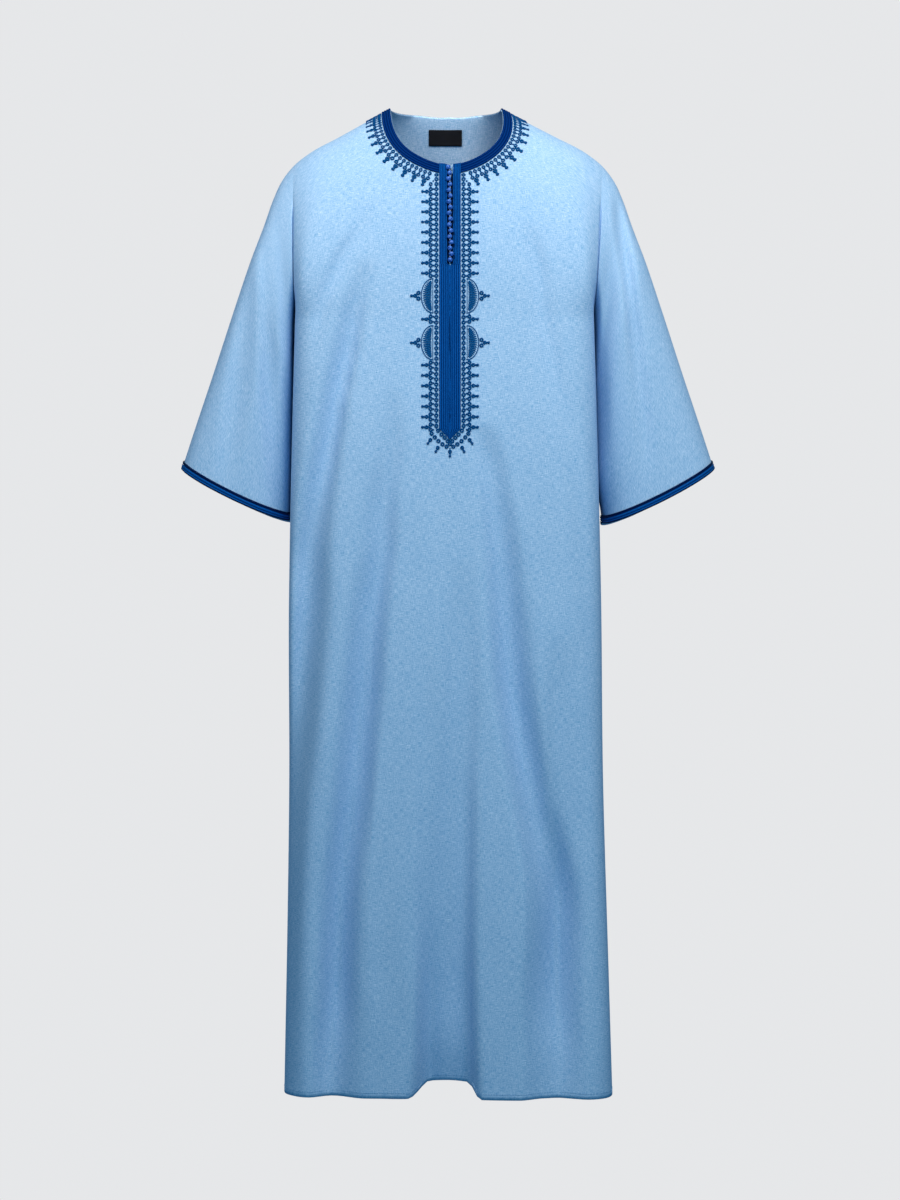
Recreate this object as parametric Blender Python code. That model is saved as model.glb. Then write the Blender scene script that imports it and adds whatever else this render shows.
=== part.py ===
# Long thobe with short sleeves cut in one with the body, kept in the form that it has when worn.
# The front faces -Y, and left and right are those of someone who looks at it, so right is +X.
# The origin lies between the two neck points, where the garment is held. All sizes are in metres.

from math import pi

import bmesh
import bpy
import numpy as np

# Cloth and seams
WALL = 0.0015
SEAM_GAP = 0.0003
LAY_GAP = 0.0004

# Heights
CROWN_FRONT = 0.0195
CROWN_BACK = 0.030
UNDERARM_Z = -0.310
HEM_Z = -1.4137
CENTRE_LINE = 0.003

# Neck opening and the slit below it
NECK_HALF = 0.081
NECKLINES = {
    # face: fall at the centre, power of the curve
    -1: (0.561, 3.2),
    1: (0.300, 2.1),
}
SLIT_HALF = 0.001

# Form of the upper body
RING_POWER = 2.2
CHEST_POWER = 2.2
SHOULDER_CAP = 0.090
CREASE_FROM = 0.30
CREASE_POWER = 1.6
ARMHOLE_OUT = 0.222

# Shoulder and upper sleeve edge, the same on both sides
TOP_LINE = [
    # out, height
    (0.081, 0.000),
    (0.110, -0.016),
    (0.155, -0.040),
    (0.200, -0.064),
    (0.222, -0.081),
    (0.241, -0.106),
    (0.2515, -0.130),
    (0.2655, -0.172),
    (0.285, -0.225),
    (0.312, -0.305),
    (0.340, -0.390),
    (0.363, -0.458),
    (0.3835, -0.520),
]

# Body rings below the underarm: half widths, and depths from the side seams
BODY_RINGS = [
    # height, left, right, front left, front right, back
    (-0.310, 0.2190, 0.2090, 0.118, 0.118, 0.112),
    (-0.450, 0.2225, 0.2130, 0.122, 0.122, 0.106),
    (-0.700, 0.2277, 0.2190, 0.120, 0.121, 0.104),
    (-0.970, 0.2290, 0.2220, 0.116, 0.122, 0.112),
    (-1.200, 0.2315, 0.2285, 0.114, 0.127, 0.120),
    (-1.4137, 0.2349, 0.2349, 0.112, 0.132, 0.128),
]

# Lower sleeve seam, from the underarm to the inner end of the cuff
SLEEVE_SEAMS = {
    # side: (out, depth, height) at the cuff
    -1: (0.2262, 0.034, -0.5945),
    1: (0.2315, 0.006, -0.5990),
}
SLEEVE_DEPTH_TOP = 0.056
SLEEVE_DEPTH_CUFF = 0.038
CUFF_BOW = 0.012

# Soft folds, each a trough along a line seen from the front or back
FOLDS = [
    # face, part, x and z at the top, x half way, x and z at the foot, middle and foot depth, widths
    (-1, "body", -0.121, -0.200, -0.183, -0.224, -1.240, 0.011, 0.004, 0.060, 0.015),
    (-1, "body", -0.057, -0.420, -0.105, -0.136, -1.4137, 0.007, 0.004, 0.040, 0.018),
    (-1, "body", 0.000, -0.600, 0.003, 0.011, -1.4137, 0.014, 0.085, 0.080, 0.047),
    (-1, "body", 0.060, -0.400, 0.122, 0.176, -1.4137, 0.012, 0.004, 0.018, 0.065),
    (-1, "body", 0.190, -0.450, 0.196, 0.208, -1.4137, 0.007, 0.007, 0.020, 0.020),
    (-1, "sleeve", -0.262, -0.130, -0.245, -0.240, -0.620, 0.010, 0.009, 0.020, 0.015),
    (-1, "sleeve", -0.290, -0.230, -0.300, -0.318, -0.560, 0.005, 0.005, 0.024, 0.022),
    (-1, "sleeve", 0.247, -0.110, 0.266, 0.290, -0.560, 0.009, 0.007, 0.026, 0.020),
    (1, "body", -0.150, -0.260, -0.160, -0.168, -1.4137, 0.010, 0.022, 0.030, 0.036),
    (1, "body", -0.055, -0.150, -0.048, -0.045, -1.4137, 0.009, 0.030, 0.034, 0.034),
    (1, "body", 0.060, -0.190, 0.066, 0.078, -1.4137, 0.010, 0.034, 0.036, 0.030),
    (1, "body", 0.158, -0.300, 0.165, 0.172, -1.4137, 0.009, 0.018, 0.032, 0.028),
    (1, "sleeve", -0.258, -0.130, -0.262, -0.272, -0.600, 0.010, 0.008, 0.018, 0.020),
    (1, "sleeve", 0.252, -0.120, 0.262, 0.280, -0.600, 0.010, 0.008, 0.020, 0.018),
]
FOLD_FADE = 0.030
HEM_LIFT = 0.012
LIFT_PULL = 0.060

# Braids, embroidery, buttons and label
BRAID_BASE = 0.0010
BRAID_RIB = 0.0007
RIB_HEIGHTS = [0.3, 1.0, 0.4, 1.0, 0.4, 1.0, 0.3]
CUFF_RIB_HEIGHTS = [0.3, 1.0, 0.3, 1.0, 0.3]
NECK_BRAID = 0.0135
CUFF_BRAID = 0.0122
PAST_NECK = 2 * NECK_HALF
BAND_HALF = 0.0165
BAND_TOP_Z = -0.104
CHANNEL_HALF = 0.005
CHANNEL_END_Z = -0.238
BAND_JOIN_Z = -0.250
BAND_PLAIN_Z = -0.275
BAND_TAPER_Z = -0.470
BAND_TIP_Z = -0.484
STITCH_HEIGHT = 0.0008
BORDER_WIDE = 0.0140
TOOTH_REACH = 0.0245
TOOTH_PITCH = 0.0147
NECK_TEETH = 9
BORDER_TOP_Z = -0.1095
BORDER_NECK_Z = -0.1255
TOOTH_RUNS = [
    # first height, count
    (-0.1332, 9),
    (-0.3148, 1),
    (-0.3796, 6),
]
MEDALLION_HEIGHTS = [-0.2819, -0.3481]
MEDALLION_HALF = 0.0235
MEDALLION_INNER = 0.0260
MEDALLION_REACH = 0.0160
MEDALLION_TIP = 0.0550
POINT_BORDER = [
    # share of the way down the pointed end, out and height of the border's outer edge
    (0.00, 0.0302, -0.4640),
    (0.10, 0.0405, -0.4697),
    (0.25, 0.0300, -0.4780),
    (0.40, 0.0295, -0.4905),
    (0.55, 0.0205, -0.4880),
    (0.70, 0.0185, -0.5005),
    (0.88, 0.0070, -0.4975),
    (1.00, 0.0002, -0.5090),
]
BUTTON_COUNT = 17
BUTTON_TOP_Z = -0.099
BUTTON_PITCH = 0.0083
BUTTON_RADIUS = 0.00325
BUTTON_GAP = 0.0001
BUTTON_ASIDE = -0.0015
BUTTON_DRIFT = 0.0025
LABEL_X = -0.0038
LABEL_WIDE = 0.049
LABEL_TOP_Z = -0.0182
LABEL_LOW_Z = -0.0404
LABEL_THICK = 0.0006
LABEL_GAP = 0.0006

# Colours, as linear RGB
CHAMBRAY = (0.30, 0.49, 0.72)
ROYAL_BRAID = (0.004, 0.045, 0.24)
BORDER_THREAD = (0.008, 0.07, 0.23)
BUTTON_CORD = (0.006, 0.03, 0.17)
LABEL_BLACK = (0.008, 0.008, 0.012)
CLOTH_ROUGH = 0.85
TRIM_ROUGH = 0.6
CORD_ROUGH = 0.5


def smooth(value):
    value = np.clip(value, 0.0, 1.0)
    return value * value * (3 - 2 * value)


def smooth_at(at, knots, values):
    """Values of a smooth line through the knots, for each entry of at."""
    knots = np.asarray(knots, float)
    values = np.asarray(values, float)
    slopes = np.gradient(values, knots, axis=0)
    at = np.clip(at, knots[0], knots[-1])
    low = np.clip(np.searchsorted(knots, at, side="right") - 1, 0, len(knots) - 2)
    span = knots[low + 1] - knots[low]
    part = (at - knots[low]) / span
    if values.ndim > 1:
        span = span[..., None]
        part = part[..., None]
    start = (1 + 2 * part) * (1 - part) ** 2
    end = part * part * (3 - 2 * part)
    leave = part * (1 - part) ** 2 * span
    arrive = part * part * (part - 1) * span
    return (start * values[low] + end * values[low + 1]
            + leave * slopes[low] + arrive * slopes[low + 1])


def run_along(rows):
    steps = np.linalg.norm(np.diff(np.array(rows, float), axis=0), axis=1)
    return np.concatenate([[0.0], np.cumsum(steps)])


class TopLine:
    """Shoulder line of the front or the back, run over the neck opening to the other side."""

    def __init__(self, crown):
        half = NECK_HALF / 2
        crown_rows = [(0.0, crown), (half, crown * 0.75)]
        self.rows = np.array(crown_rows + TOP_LINE)
        self.run = run_along(self.rows)
        self.neck = self.run[len(crown_rows)]
        self.arm = np.interp(ARMHOLE_OUT, self.rows[:, 0], self.run)
        self.end = self.run[-1]

    def at(self, run):
        return smooth_at(run, self.run, self.rows)


TOP_LINES = {-1: TopLine(CROWN_FRONT), 1: TopLine(CROWN_BACK)}
NECK_OUT = {face: line.neck / line.arm for face, line in TOP_LINES.items()}
SLEEVE_RUN = TOP_LINES[-1].end - TOP_LINES[-1].arm
CUFF_BRAID_FROM = 1 - CUFF_BRAID / SLEEVE_RUN


def ring_angle(out):
    """Angle on a body ring at the given share of the way round from the centre to the side."""
    angles = np.linspace(0, pi / 2, 241)
    across = BODY_RINGS[0][1] * np.sin(angles) ** (2 / RING_POWER)
    deep = BODY_RINGS[0][3] * np.cos(angles) ** (2 / RING_POWER)
    run = run_along(np.stack([across, deep], axis=1))
    return np.interp(out, run / run[-1], angles)


def fold_depth(face, part, x, z):
    """How far the folds of one part pull the cloth in at a place seen from the front."""
    total = np.zeros(np.shape(x))
    for row in FOLDS:
        on_face, on_part, x_top, z_top, x_half, x_foot, z_foot, middle, foot, left, right = row
        if (on_face, on_part) != (face, part):
            continue
        down = (z_top - z) / (z_top - z_foot)
        path = np.clip(down, 0, 1.2)
        line = x_top + (4 * x_half - 3 * x_top - x_foot) * path
        line = line + (2 * x_top + 2 * x_foot - 4 * x_half) * path ** 2
        depth = middle * smooth(down / 0.4) + (foot - middle) * smooth((down - 0.3) / 0.7)
        aside = x - line
        share = np.clip(np.where(aside < 0, -aside / left, aside / right), 0, 1)
        total = total + depth * (1 + np.cos(pi * share)) / 2 * (down > 0)
    return total


def armhole(t):
    """Shares of the way forward, down and closed at a fall t from the shoulder to the underarm."""
    phi = np.clip(t, 0, 1) * pi / 2
    forward = np.sin(phi) ** (2 / CHEST_POWER)
    down = 1 - np.clip(np.cos(phi), 0, 1) ** (2 / CHEST_POWER)
    closed = np.clip((t - CREASE_FROM) / (1 - CREASE_FROM), 0, 1) ** CREASE_POWER
    return forward, down, closed


def body_point(face, a, fall):
    """Outer surface of the body. a runs from -1 at the left side seam to 1 at the right.
    fall runs from 0 on the shoulder line through 1 at underarm height to 2 at the hem."""
    a = np.asarray(a, float)
    fall = np.asarray(fall, float)
    out = np.abs(a)
    z_ring = UNDERARM_Z + (np.maximum(fall, 1) - 1) * (HEM_Z - UNDERARM_Z)
    table = np.array(BODY_RINGS)
    left, right, front_left, front_right, back = np.moveaxis(
        smooth_at(-z_ring, -table[:, 0], table[:, 1:]), -1, 0)
    wide = np.where(a < 0, left, right)
    front = front_left + (front_right - front_left) * smooth(0.5 + a)
    deep = front if face < 0 else back
    angle = ring_angle(out)
    ring_x = wide * np.sin(angle) ** (2 / RING_POWER)
    ring_y = deep * np.clip(np.cos(angle), 0, 1) ** (2 / RING_POWER)
    line = TOP_LINES[face]
    top = line.at(out * line.arm)
    forward, down, closed = armhole(fall)
    open_y = deep - (deep - SHOULDER_CAP) * out ** 4
    x = top[..., 0] + (ring_x - top[..., 0]) * down
    x = np.where(a < 0, -x, x) + CENTRE_LINE * (1 - out) ** 2
    y = forward * (open_y + (ring_y - open_y) * closed)
    z = top[..., 1] + (z_ring - top[..., 1]) * down
    pull = fold_depth(face, "body", x, z) * np.clip(y / FOLD_FADE, 0, 1)
    if face < 0:
        lift = HEM_LIFT * np.clip(pull / LIFT_PULL, 0, 1) * smooth((fall - 1.6) / 0.4)
        z = z + lift
    return np.stack([x, face * (y - pull + SEAM_GAP / 2), z], axis=-1)


def sleeve_point(face, side, b, t):
    """Outer surface of a sleeve. b runs from 0 at the armhole to 1 at the cuff, and t from 0 on
    the upper edge to 1 on the lower seam."""
    b = np.asarray(b, float)
    t = np.asarray(t, float)
    line = TOP_LINES[face]
    top = line.at(line.arm + b * (line.end - line.arm))
    pit_out = BODY_RINGS[0][1] if side < 0 else BODY_RINGS[0][2]
    cuff_out, cuff_depth, cuff_z = SLEEVE_SEAMS[side]
    under_x = pit_out + (cuff_out - pit_out) * b
    under_z = UNDERARM_Z + (cuff_z - UNDERARM_Z) * b
    under_y = cuff_depth * smooth(b / 0.5)
    rounded = smooth(b / 0.35)
    forward, down, closed = armhole(t)
    across = down + ((1 - np.cos(pi * t)) / 2 - down) * rounded
    depth = SLEEVE_DEPTH_TOP + (SLEEVE_DEPTH_CUFF - SLEEVE_DEPTH_TOP) * b
    cap = forward * (1 - closed) * SHOULDER_CAP
    y = cap + (depth * np.sin(pi * np.clip(t, 0, 1)) - cap) * rounded
    x = side * (top[..., 0] + (under_x - top[..., 0]) * across)
    bow = CUFF_BOW * np.sin(pi * np.clip(t, 0, 1)) * b ** 3
    z = top[..., 1] + (under_z - top[..., 1]) * across - bow
    pull = fold_depth(face, "sleeve", x, z) * np.clip(y / FOLD_FADE, 0, 1) * rounded
    return np.stack([x, face * (y - pull + SEAM_GAP / 2) + under_y * across, z], axis=-1)


def neck_fall(face, a):
    """Fall at which a body column starts: on the neckline, or on the shoulder beyond it."""
    centre_fall, power = NECKLINES[face]
    share = np.clip(np.abs(a) / NECK_OUT[face], 0, 1)
    return centre_fall * (1 - share ** power) ** (1 / power)


def normal_at(face, a, fall):
    """Direction straight out of the body's cloth."""
    step = 1e-4
    across = body_point(face, a + step, fall) - body_point(face, a - step, fall)
    along = body_point(face, a, fall + step) - body_point(face, a, fall - step)
    normal = np.cross(across, along) * face
    return normal / np.linalg.norm(normal, axis=-1, keepdims=True)


def settle(face, target, a, fall, axes=(0, 1, 2)):
    """Place (a, fall) of the body's cloth that lies nearest to a target, along the given axes."""
    axes = list(axes)
    step = 1e-4
    for _ in range(9):
        here = body_point(face, a, fall)
        across = (body_point(face, a + step, fall) - here) / step
        along = (body_point(face, a, fall + step) - here) / step
        slopes = np.stack([across, along], axis=1)[axes]
        move = np.linalg.lstsq(slopes, (target - here)[axes], rcond=None)[0]
        a = a + float(np.clip(move[0], -0.1, 0.1))
        fall = float(np.clip(fall + np.clip(move[1], -0.1, 0.1), 0.0, 1.99))
    return a, fall


# First guesses for a place on the cloth: the distance out for each unit of a, and the fall on the chest
GUESS_OUT = 0.26
GUESS_FALL = 0.75


def seen_at(face, x, z):
    """Place (a, fall) of the body's cloth that shows at x and z from the front or back."""
    below = 1 + (UNDERARM_Z - z) / (UNDERARM_Z - HEM_Z)
    guess = GUESS_FALL if z > UNDERARM_Z else below
    return settle(face, np.array([x, 0.0, z]), x / GUESS_OUT, guess, axes=(0, 2))


def finish(name, bm, colour, roughness):
    """Close a bmesh into a named object with its own material."""
    mesh = bpy.data.meshes.new(name)
    bm.to_mesh(mesh)
    bm.free()
    obj = bpy.data.objects.new(name, mesh)
    bpy.context.collection.objects.link(obj)
    material = bpy.data.materials.new(name)
    material.use_nodes = True
    shader = material.node_tree.nodes["Principled BSDF"]
    shader.inputs["Base Color"].default_value = (*colour, 1)
    shader.inputs["Roughness"].default_value = roughness
    shader.inputs["Metallic"].default_value = 0
    mesh.materials.append(material)
    mesh.shade_smooth()
    return obj


def grid_of(points):
    """A bmesh grid moved to points, an array of rows and columns, and its vertices by place."""
    rows, columns = points.shape[:2]
    bm = bmesh.new()
    bmesh.ops.create_grid(bm, x_segments=columns - 1, y_segments=rows - 1, size=1)
    places = {}
    for vertex in bm.verts:
        column = round((vertex.co.x + 1) / 2 * (columns - 1))
        row = round((vertex.co.y + 1) / 2 * (rows - 1))
        places[row, column] = vertex
    for place, vertex in places.items():
        vertex.co = points[place]
    return bm, places


def close_wall(bm, inner):
    """Give an open sheet a second side. inner is a dictionary from vertex to its inner place."""
    faces = list(bm.faces)
    outer_of = {tuple(vertex.co): vertex for vertex in bm.verts}
    made = bmesh.ops.extrude_face_region(bm, geom=faces, use_keep_orig=True)
    for item in made["geom"]:
        if isinstance(item, bmesh.types.BMVert):
            item.co = inner[outer_of[tuple(item.co)]]
    bmesh.ops.recalc_face_normals(bm, faces=list(bm.faces))


# Places of the grid lines of a panel: shares of the neck's half width, of the shoulder from there to
# the armhole, and of the sleeve, and then falls from the shoulder line to the underarm
BODY_OUT_FRONT = [0.17, 0.30, 0.44, 0.58, 0.71, 0.82, 0.91, 0.97, 1.0]
BODY_OUT_SIDE = [0.13, 0.28, 0.43, 0.57, 0.70, 0.81, 0.89, 0.95, 0.985, 1.0]
SLEEVE_COLUMNS = [0.04, 0.10, 0.19, 0.32, 0.48, 0.65, 0.82, CUFF_BRAID_FROM, 1.0]
UPPER_ROWS = [0, 0.05, 0.11, 0.18, 0.26, 0.35, 0.44, 0.54, 0.64, 0.72, 0.80, 0.874, 0.94, 1.0]
NECK_SETTLE = 0.64
SLIT_ROW = 0.874
LOWER_ROWS = 12


def panel_columns(face):
    """Places across a panel, from the left cuff to the right: (part, side, share)."""
    neck = NECK_OUT[face]
    inner = [neck * share for share in BODY_OUT_FRONT]
    outer = [neck + (1 - neck) * share for share in BODY_OUT_SIDE]
    centre = [SLIT_HALF / ARMHOLE_OUT] if face < 0 else [0.0]
    half = centre + [*inner, *outer]
    right = [("body", 1, out) for out in half] + [("sleeve", 1, b) for b in SLEEVE_COLUMNS]
    left = [(part, -1, share) for part, _, share in reversed(right)]
    if face > 0:
        left = left[:-1]
    return left + right


def panel(name, face):
    """Front or back: body and both half sleeves, cut in one."""
    columns = panel_columns(face)
    upper = len(UPPER_ROWS)
    rows = upper + LOWER_ROWS
    points = np.zeros((rows, len(columns), 3))
    for number, (part, side, share) in enumerate(columns):
        t = np.array(UPPER_ROWS)
        if part == "sleeve":
            points[:upper, number] = sleeve_point(face, side, np.full(upper, share), t)
            continue
        start = neck_fall(face, share)
        eased = start + (NECK_SETTLE - start) * t / NECK_SETTLE
        below = 1 + np.arange(1, LOWER_ROWS + 1) / LOWER_ROWS
        falls = np.concatenate([np.where(t < NECK_SETTLE, eased, t), below])
        points[:, number] = body_point(face, np.full(rows, side * share), falls)
    bm, places = grid_of(points)
    place_of = {vertex: place for place, vertex in places.items()}
    is_sleeve = [part == "sleeve" for part, _, _ in columns]
    slit_row = UPPER_ROWS.index(SLIT_ROW)
    slit_column = len(columns) // 2 - 1
    unwanted = []
    for cell in bm.faces:
        row = min(place_of[vertex][0] for vertex in cell.verts)
        column = min(place_of[vertex][1] for vertex in cell.verts)
        below_sleeve = row >= upper - 1 and (is_sleeve[column] or is_sleeve[column + 1])
        in_slit = face < 0 and column == slit_column and row < slit_row
        if below_sleeve or in_slit:
            unwanted.append(cell)
    bmesh.ops.delete(bm, geom=unwanted, context="FACES")
    bm.normal_update()
    if sum(cell.normal.y * face for cell in bm.faces) < 0:
        bmesh.ops.reverse_faces(bm, faces=list(bm.faces))
    bm.normal_update()
    inner = {}
    for vertex in bm.verts:
        row, column = place_of[vertex]
        part, side, share = columns[column]
        inward = np.array(vertex.normal) * -1
        on_shoulder = row == 0 and (part == "sleeve" or share >= NECK_OUT[face] - 1e-9)
        on_lower_seam = row == upper - 1 and part == "sleeve"
        on_side = part == "body" and share == 1.0 and row >= upper - 1
        if on_side and row == upper - 1:
            inward = np.array([0.0, 0.0, 1.0])
        elif on_shoulder or on_lower_seam or on_side:
            inward[1] = 0
            inward = inward / np.linalg.norm(inward)
        inner[vertex] = np.array(vertex.co) + inward * WALL
    close_wall(bm, inner)
    return finish(name, bm, CHAMBRAY, CLOTH_ROUGH)


def strip_solid(name, over, under, colour, ring=False):
    """A solid between two grids of points. A ring meets itself after its last row."""
    bm, places = grid_of(over)
    inner = {vertex: under[place] for place, vertex in places.items()}
    if ring:
        last = over.shape[0] - 1
        pairs = {places[last, column]: places[0, column] for column in range(over.shape[1])}
        for vertex in pairs:
            del inner[vertex]
        bmesh.ops.weld_verts(bm, targetmap=pairs)
    close_wall(bm, inner)
    return finish(name, bm, colour, TRIM_ROUGH)


def lay_on_body(name, face, places, heights, colour):
    """A trim laid on the body. places holds rows of (a, fall), and heights how thick it is."""
    places = np.array(places)
    a, fall = places[..., 0], places[..., 1]
    cloth = body_point(face, a, fall)
    normal = normal_at(face, a, fall)
    under = cloth + normal * LAY_GAP
    over = cloth + normal * (LAY_GAP + np.broadcast_to(heights, a.shape)[..., None])
    for layer in (under, over):
        layer[..., 1] = face * np.maximum(face * layer[..., 1], SEAM_GAP / 2)
    return strip_solid(name, over, under, colour)


def beside_neck(face, x_from, x_to, reaches):
    """Rows of places beside the neckline, one for each row of reaches, straight out from the edge."""
    a_line = NECK_OUT[face] * np.sin(np.linspace(-pi / 2, pi / 2, 401))
    edge_line = body_point(face, a_line, neck_fall(face, a_line))
    run_line = run_along(edge_line)
    run_from, run_to = np.interp([x_from, x_to], edge_line[:, 0], run_line)
    rows = []
    for number, reach_row in enumerate(reaches):
        run = run_from + (run_to - run_from) * number / (len(reaches) - 1)
        a = float(np.interp(run, run_line, a_line))
        fall = float(neck_fall(face, a))
        edge = body_point(face, a, fall)
        nearer = a * (1 - 1e-4) if abs(a) > 1e-3 else a - 1e-4
        along = (edge - body_point(face, nearer, neck_fall(face, nearer))) * np.sign(a - nearer)
        outward = np.cross(along, normal_at(face, a, fall)) * -face
        outward = outward / np.linalg.norm(outward)
        row = []
        for reach in reach_row:
            a, fall = settle(face, edge + outward * reach, a, fall)
            row.append((a, fall))
        rows.append(row)
    return rows


def ribs(heights):
    return BRAID_BASE + BRAID_RIB * np.array(heights)


def neck_braid(name, face, x_from, x_to, sections):
    reach = NECK_BRAID * np.linspace(0, 1, len(RIB_HEIGHTS))
    places = beside_neck(face, x_from, x_to, [reach] * sections)
    lay_on_body(name, face, places, ribs(RIB_HEIGHTS), ROYAL_BRAID)


def band_outer(z):
    """Half width of the placket band at a height, down to its pointed end."""
    taper = np.clip((BAND_TAPER_Z - z) / (BAND_TAPER_Z - BAND_TIP_Z), 0, 1)
    return BAND_HALF + (2 * SEAM_GAP - BAND_HALF) * taper


def placket_braid(name, side):
    """One half of the placket band: beside the slit above, and meeting the other half below it."""
    heights = np.concatenate([
        np.linspace(BAND_TOP_Z, CHANNEL_END_Z, 9),
        [BAND_JOIN_Z],
        np.linspace(BAND_PLAIN_Z, BAND_TAPER_Z, 8),
        [(BAND_TAPER_Z + BAND_TIP_Z) / 2, BAND_TIP_Z],
    ])
    across = np.linspace(0, 1, len(RIB_HEIGHTS))
    rows = []
    top = []
    for share in across:
        x = CENTRE_LINE + side * (CHANNEL_HALF + (BAND_HALF - CHANNEL_HALF) * share)
        a = x / GUESS_OUT
        for _ in range(9):
            edge = body_point(-1, a, neck_fall(-1, a))
            a = a + float(x - edge[0]) / GUESS_OUT
        top.append((a, float(neck_fall(-1, a))))
    rows.append(top)
    for z in heights:
        joined = smooth((CHANNEL_END_Z - z) / (CHANNEL_END_Z - BAND_JOIN_Z))
        inner = CHANNEL_HALF + (SEAM_GAP / 2 - CHANNEL_HALF) * joined
        outs = inner + (band_outer(z) - inner) * across
        rows.append([seen_at(-1, CENTRE_LINE + side * out, z) for out in outs])
    lay_on_body(name, -1, rows, ribs(RIB_HEIGHTS), ROYAL_BRAID)


def placket_border(name, side):
    """Stitched border beside the placket band: teeth, two half medallions, and a pointed foot."""
    base = BAND_HALF + BORDER_WIDE
    edge = [(BORDER_TOP_Z, base), (BORDER_NECK_Z, base)]
    for first, count in TOOTH_RUNS:
        for number in range(count):
            z = first - TOOTH_PITCH * number
            edge += [(z, BAND_HALF + TOOTH_REACH), (z - TOOTH_PITCH / 2, base)]
    for middle in MEDALLION_HEIGHTS:
        for turn in (1.0, 0.8, 0.45, 0.15):
            out = MEDALLION_INNER + MEDALLION_REACH * (1 - turn * turn) ** 0.5
            edge += [(middle + MEDALLION_HALF * turn, out), (middle - MEDALLION_HALF * turn, out)]
        edge.append((middle, MEDALLION_TIP))
    edge.sort(reverse=True)
    rows = []
    inner = BAND_HALF + LAY_GAP
    for z, out in edge:
        outs = (inner, (inner + base) / 2, out)
        rows.append([seen_at(-1, CENTRE_LINE + side * reach, z) for reach in outs])
    for share, out, z in POINT_BORDER:
        band_z = BAND_TAPER_Z + (BAND_TIP_Z - BAND_TAPER_Z) * share
        inner_out = band_outer(band_z) + LAY_GAP
        inner_z = band_z - LAY_GAP
        places = [(inner_out + (out - inner_out) * part, inner_z + (z - inner_z) * part)
                  for part in (0, 0.45, 1)]
        rows.append([seen_at(-1, CENTRE_LINE + side * x, height) for x, height in places])
    lay_on_body(name, -1, rows, STITCH_HEIGHT, BORDER_THREAD)


def neck_border(name, side):
    """Stitched border round the front of the neck, outside the braid, with a tooth every pitch."""
    inner = NECK_BRAID + LAY_GAP
    base = (inner, inner + BORDER_WIDE / 2, inner + BORDER_WIDE)
    tooth = (inner, inner + BORDER_WIDE / 2, inner + TOOTH_REACH)
    x_from = CENTRE_LINE + side * (BAND_HALF + BORDER_WIDE + 2 * LAY_GAP)
    places = beside_neck(-1, x_from, side * PAST_NECK, [base, tooth] * NECK_TEETH + [base])
    lay_on_body(name, -1, places, STITCH_HEIGHT, BORDER_THREAD)


def cuff_braid(name, side):
    """Ribbed braid round the outside of a cuff, on the same rows as the sleeve."""
    b = np.linspace(CUFF_BRAID_FROM, 1, len(CUFF_RIB_HEIGHTS))
    step = 1e-4
    rings = []
    for face in (-1, 1):
        rows = []
        for t in UPPER_ROWS:
            near_t = min(max(t, step), 1 - step)
            cloth = sleeve_point(face, side, b, np.full(b.shape, t))
            across = cloth - sleeve_point(face, side, b - step, np.full(b.shape, t))
            along = (sleeve_point(face, side, b, np.full(b.shape, near_t + step))
                     - sleeve_point(face, side, b, np.full(b.shape, near_t - step)))
            normal = np.cross(across, along) * face * side
            rows.append((cloth, normal / np.linalg.norm(normal, axis=-1, keepdims=True)))
        rings.append(rows)
    front, back = rings
    top = [(front[0][part] + back[0][part]) / 2 for part in (0, 1)]
    foot = [(front[-1][part] + back[-1][part]) / 2 for part in (0, 1)]
    round_cuff = [top, *front[1:-1], foot, *reversed(back[1:-1]), top]
    cloth = np.array([row[0] for row in round_cuff])
    normal = np.array([row[1] for row in round_cuff])
    under = cloth + normal * LAY_GAP
    over = cloth + normal * (LAY_GAP + ribs(CUFF_RIB_HEIGHTS))[None, :, None]
    strip_solid(name, over, under, ROYAL_BRAID, ring=True)


def button(number):
    """Small knotted ball of cord on the slit, a little left of its middle at the top."""
    share = number / (BUTTON_COUNT - 1)
    x = CENTRE_LINE + BUTTON_ASIDE + BUTTON_DRIFT * share
    a, fall = seen_at(-1, x, BUTTON_TOP_Z - BUTTON_PITCH * number)
    lift = BUTTON_GAP + BUTTON_RADIUS
    centre = body_point(-1, a, fall) + normal_at(-1, a, fall) * lift
    bm = bmesh.new()
    bmesh.ops.create_uvsphere(bm, u_segments=8, v_segments=4, radius=BUTTON_RADIUS)
    bmesh.ops.translate(bm, verts=list(bm.verts), vec=centre)
    finish(f"button_{number + 1:02d}", bm, BUTTON_CORD, CORD_ROUGH)


def label():
    """Plain woven tab on the inside of the back neck."""
    rows = []
    for z in np.linspace(LABEL_TOP_Z, LABEL_LOW_Z, 4):
        xs = LABEL_X + LABEL_WIDE * np.linspace(-0.5, 0.5, 7)
        rows.append([seen_at(1, x, z) for x in xs])
    places = np.array(rows)
    cloth = body_point(1, places[..., 0], places[..., 1])
    normal = normal_at(1, places[..., 0], places[..., 1])
    outer = cloth - normal * (WALL + LABEL_GAP)
    inner = outer - normal * LABEL_THICK
    strip_solid("label", inner, outer, LABEL_BLACK)


for old in list(bpy.data.objects):
    bpy.data.objects.remove(old, do_unlink=True)

panel("front", -1)
panel("back", 1)

neck_braid("neck_braid_left", -1, CENTRE_LINE - BAND_HALF - SEAM_GAP, -PAST_NECK, 14)
neck_braid("neck_braid_right", -1, CENTRE_LINE + BAND_HALF + SEAM_GAP, PAST_NECK, 14)
neck_braid("neck_braid_back", 1, -PAST_NECK, PAST_NECK, 21)
for side, word in ((-1, "left"), (1, "right")):
    placket_braid(f"placket_braid_{word}", side)
    placket_border(f"placket_border_{word}", side)
    neck_border(f"neck_border_{word}", side)
    cuff_braid(f"cuff_braid_{word}", side)
for number in range(BUTTON_COUNT):
    button(number)
label()
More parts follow.
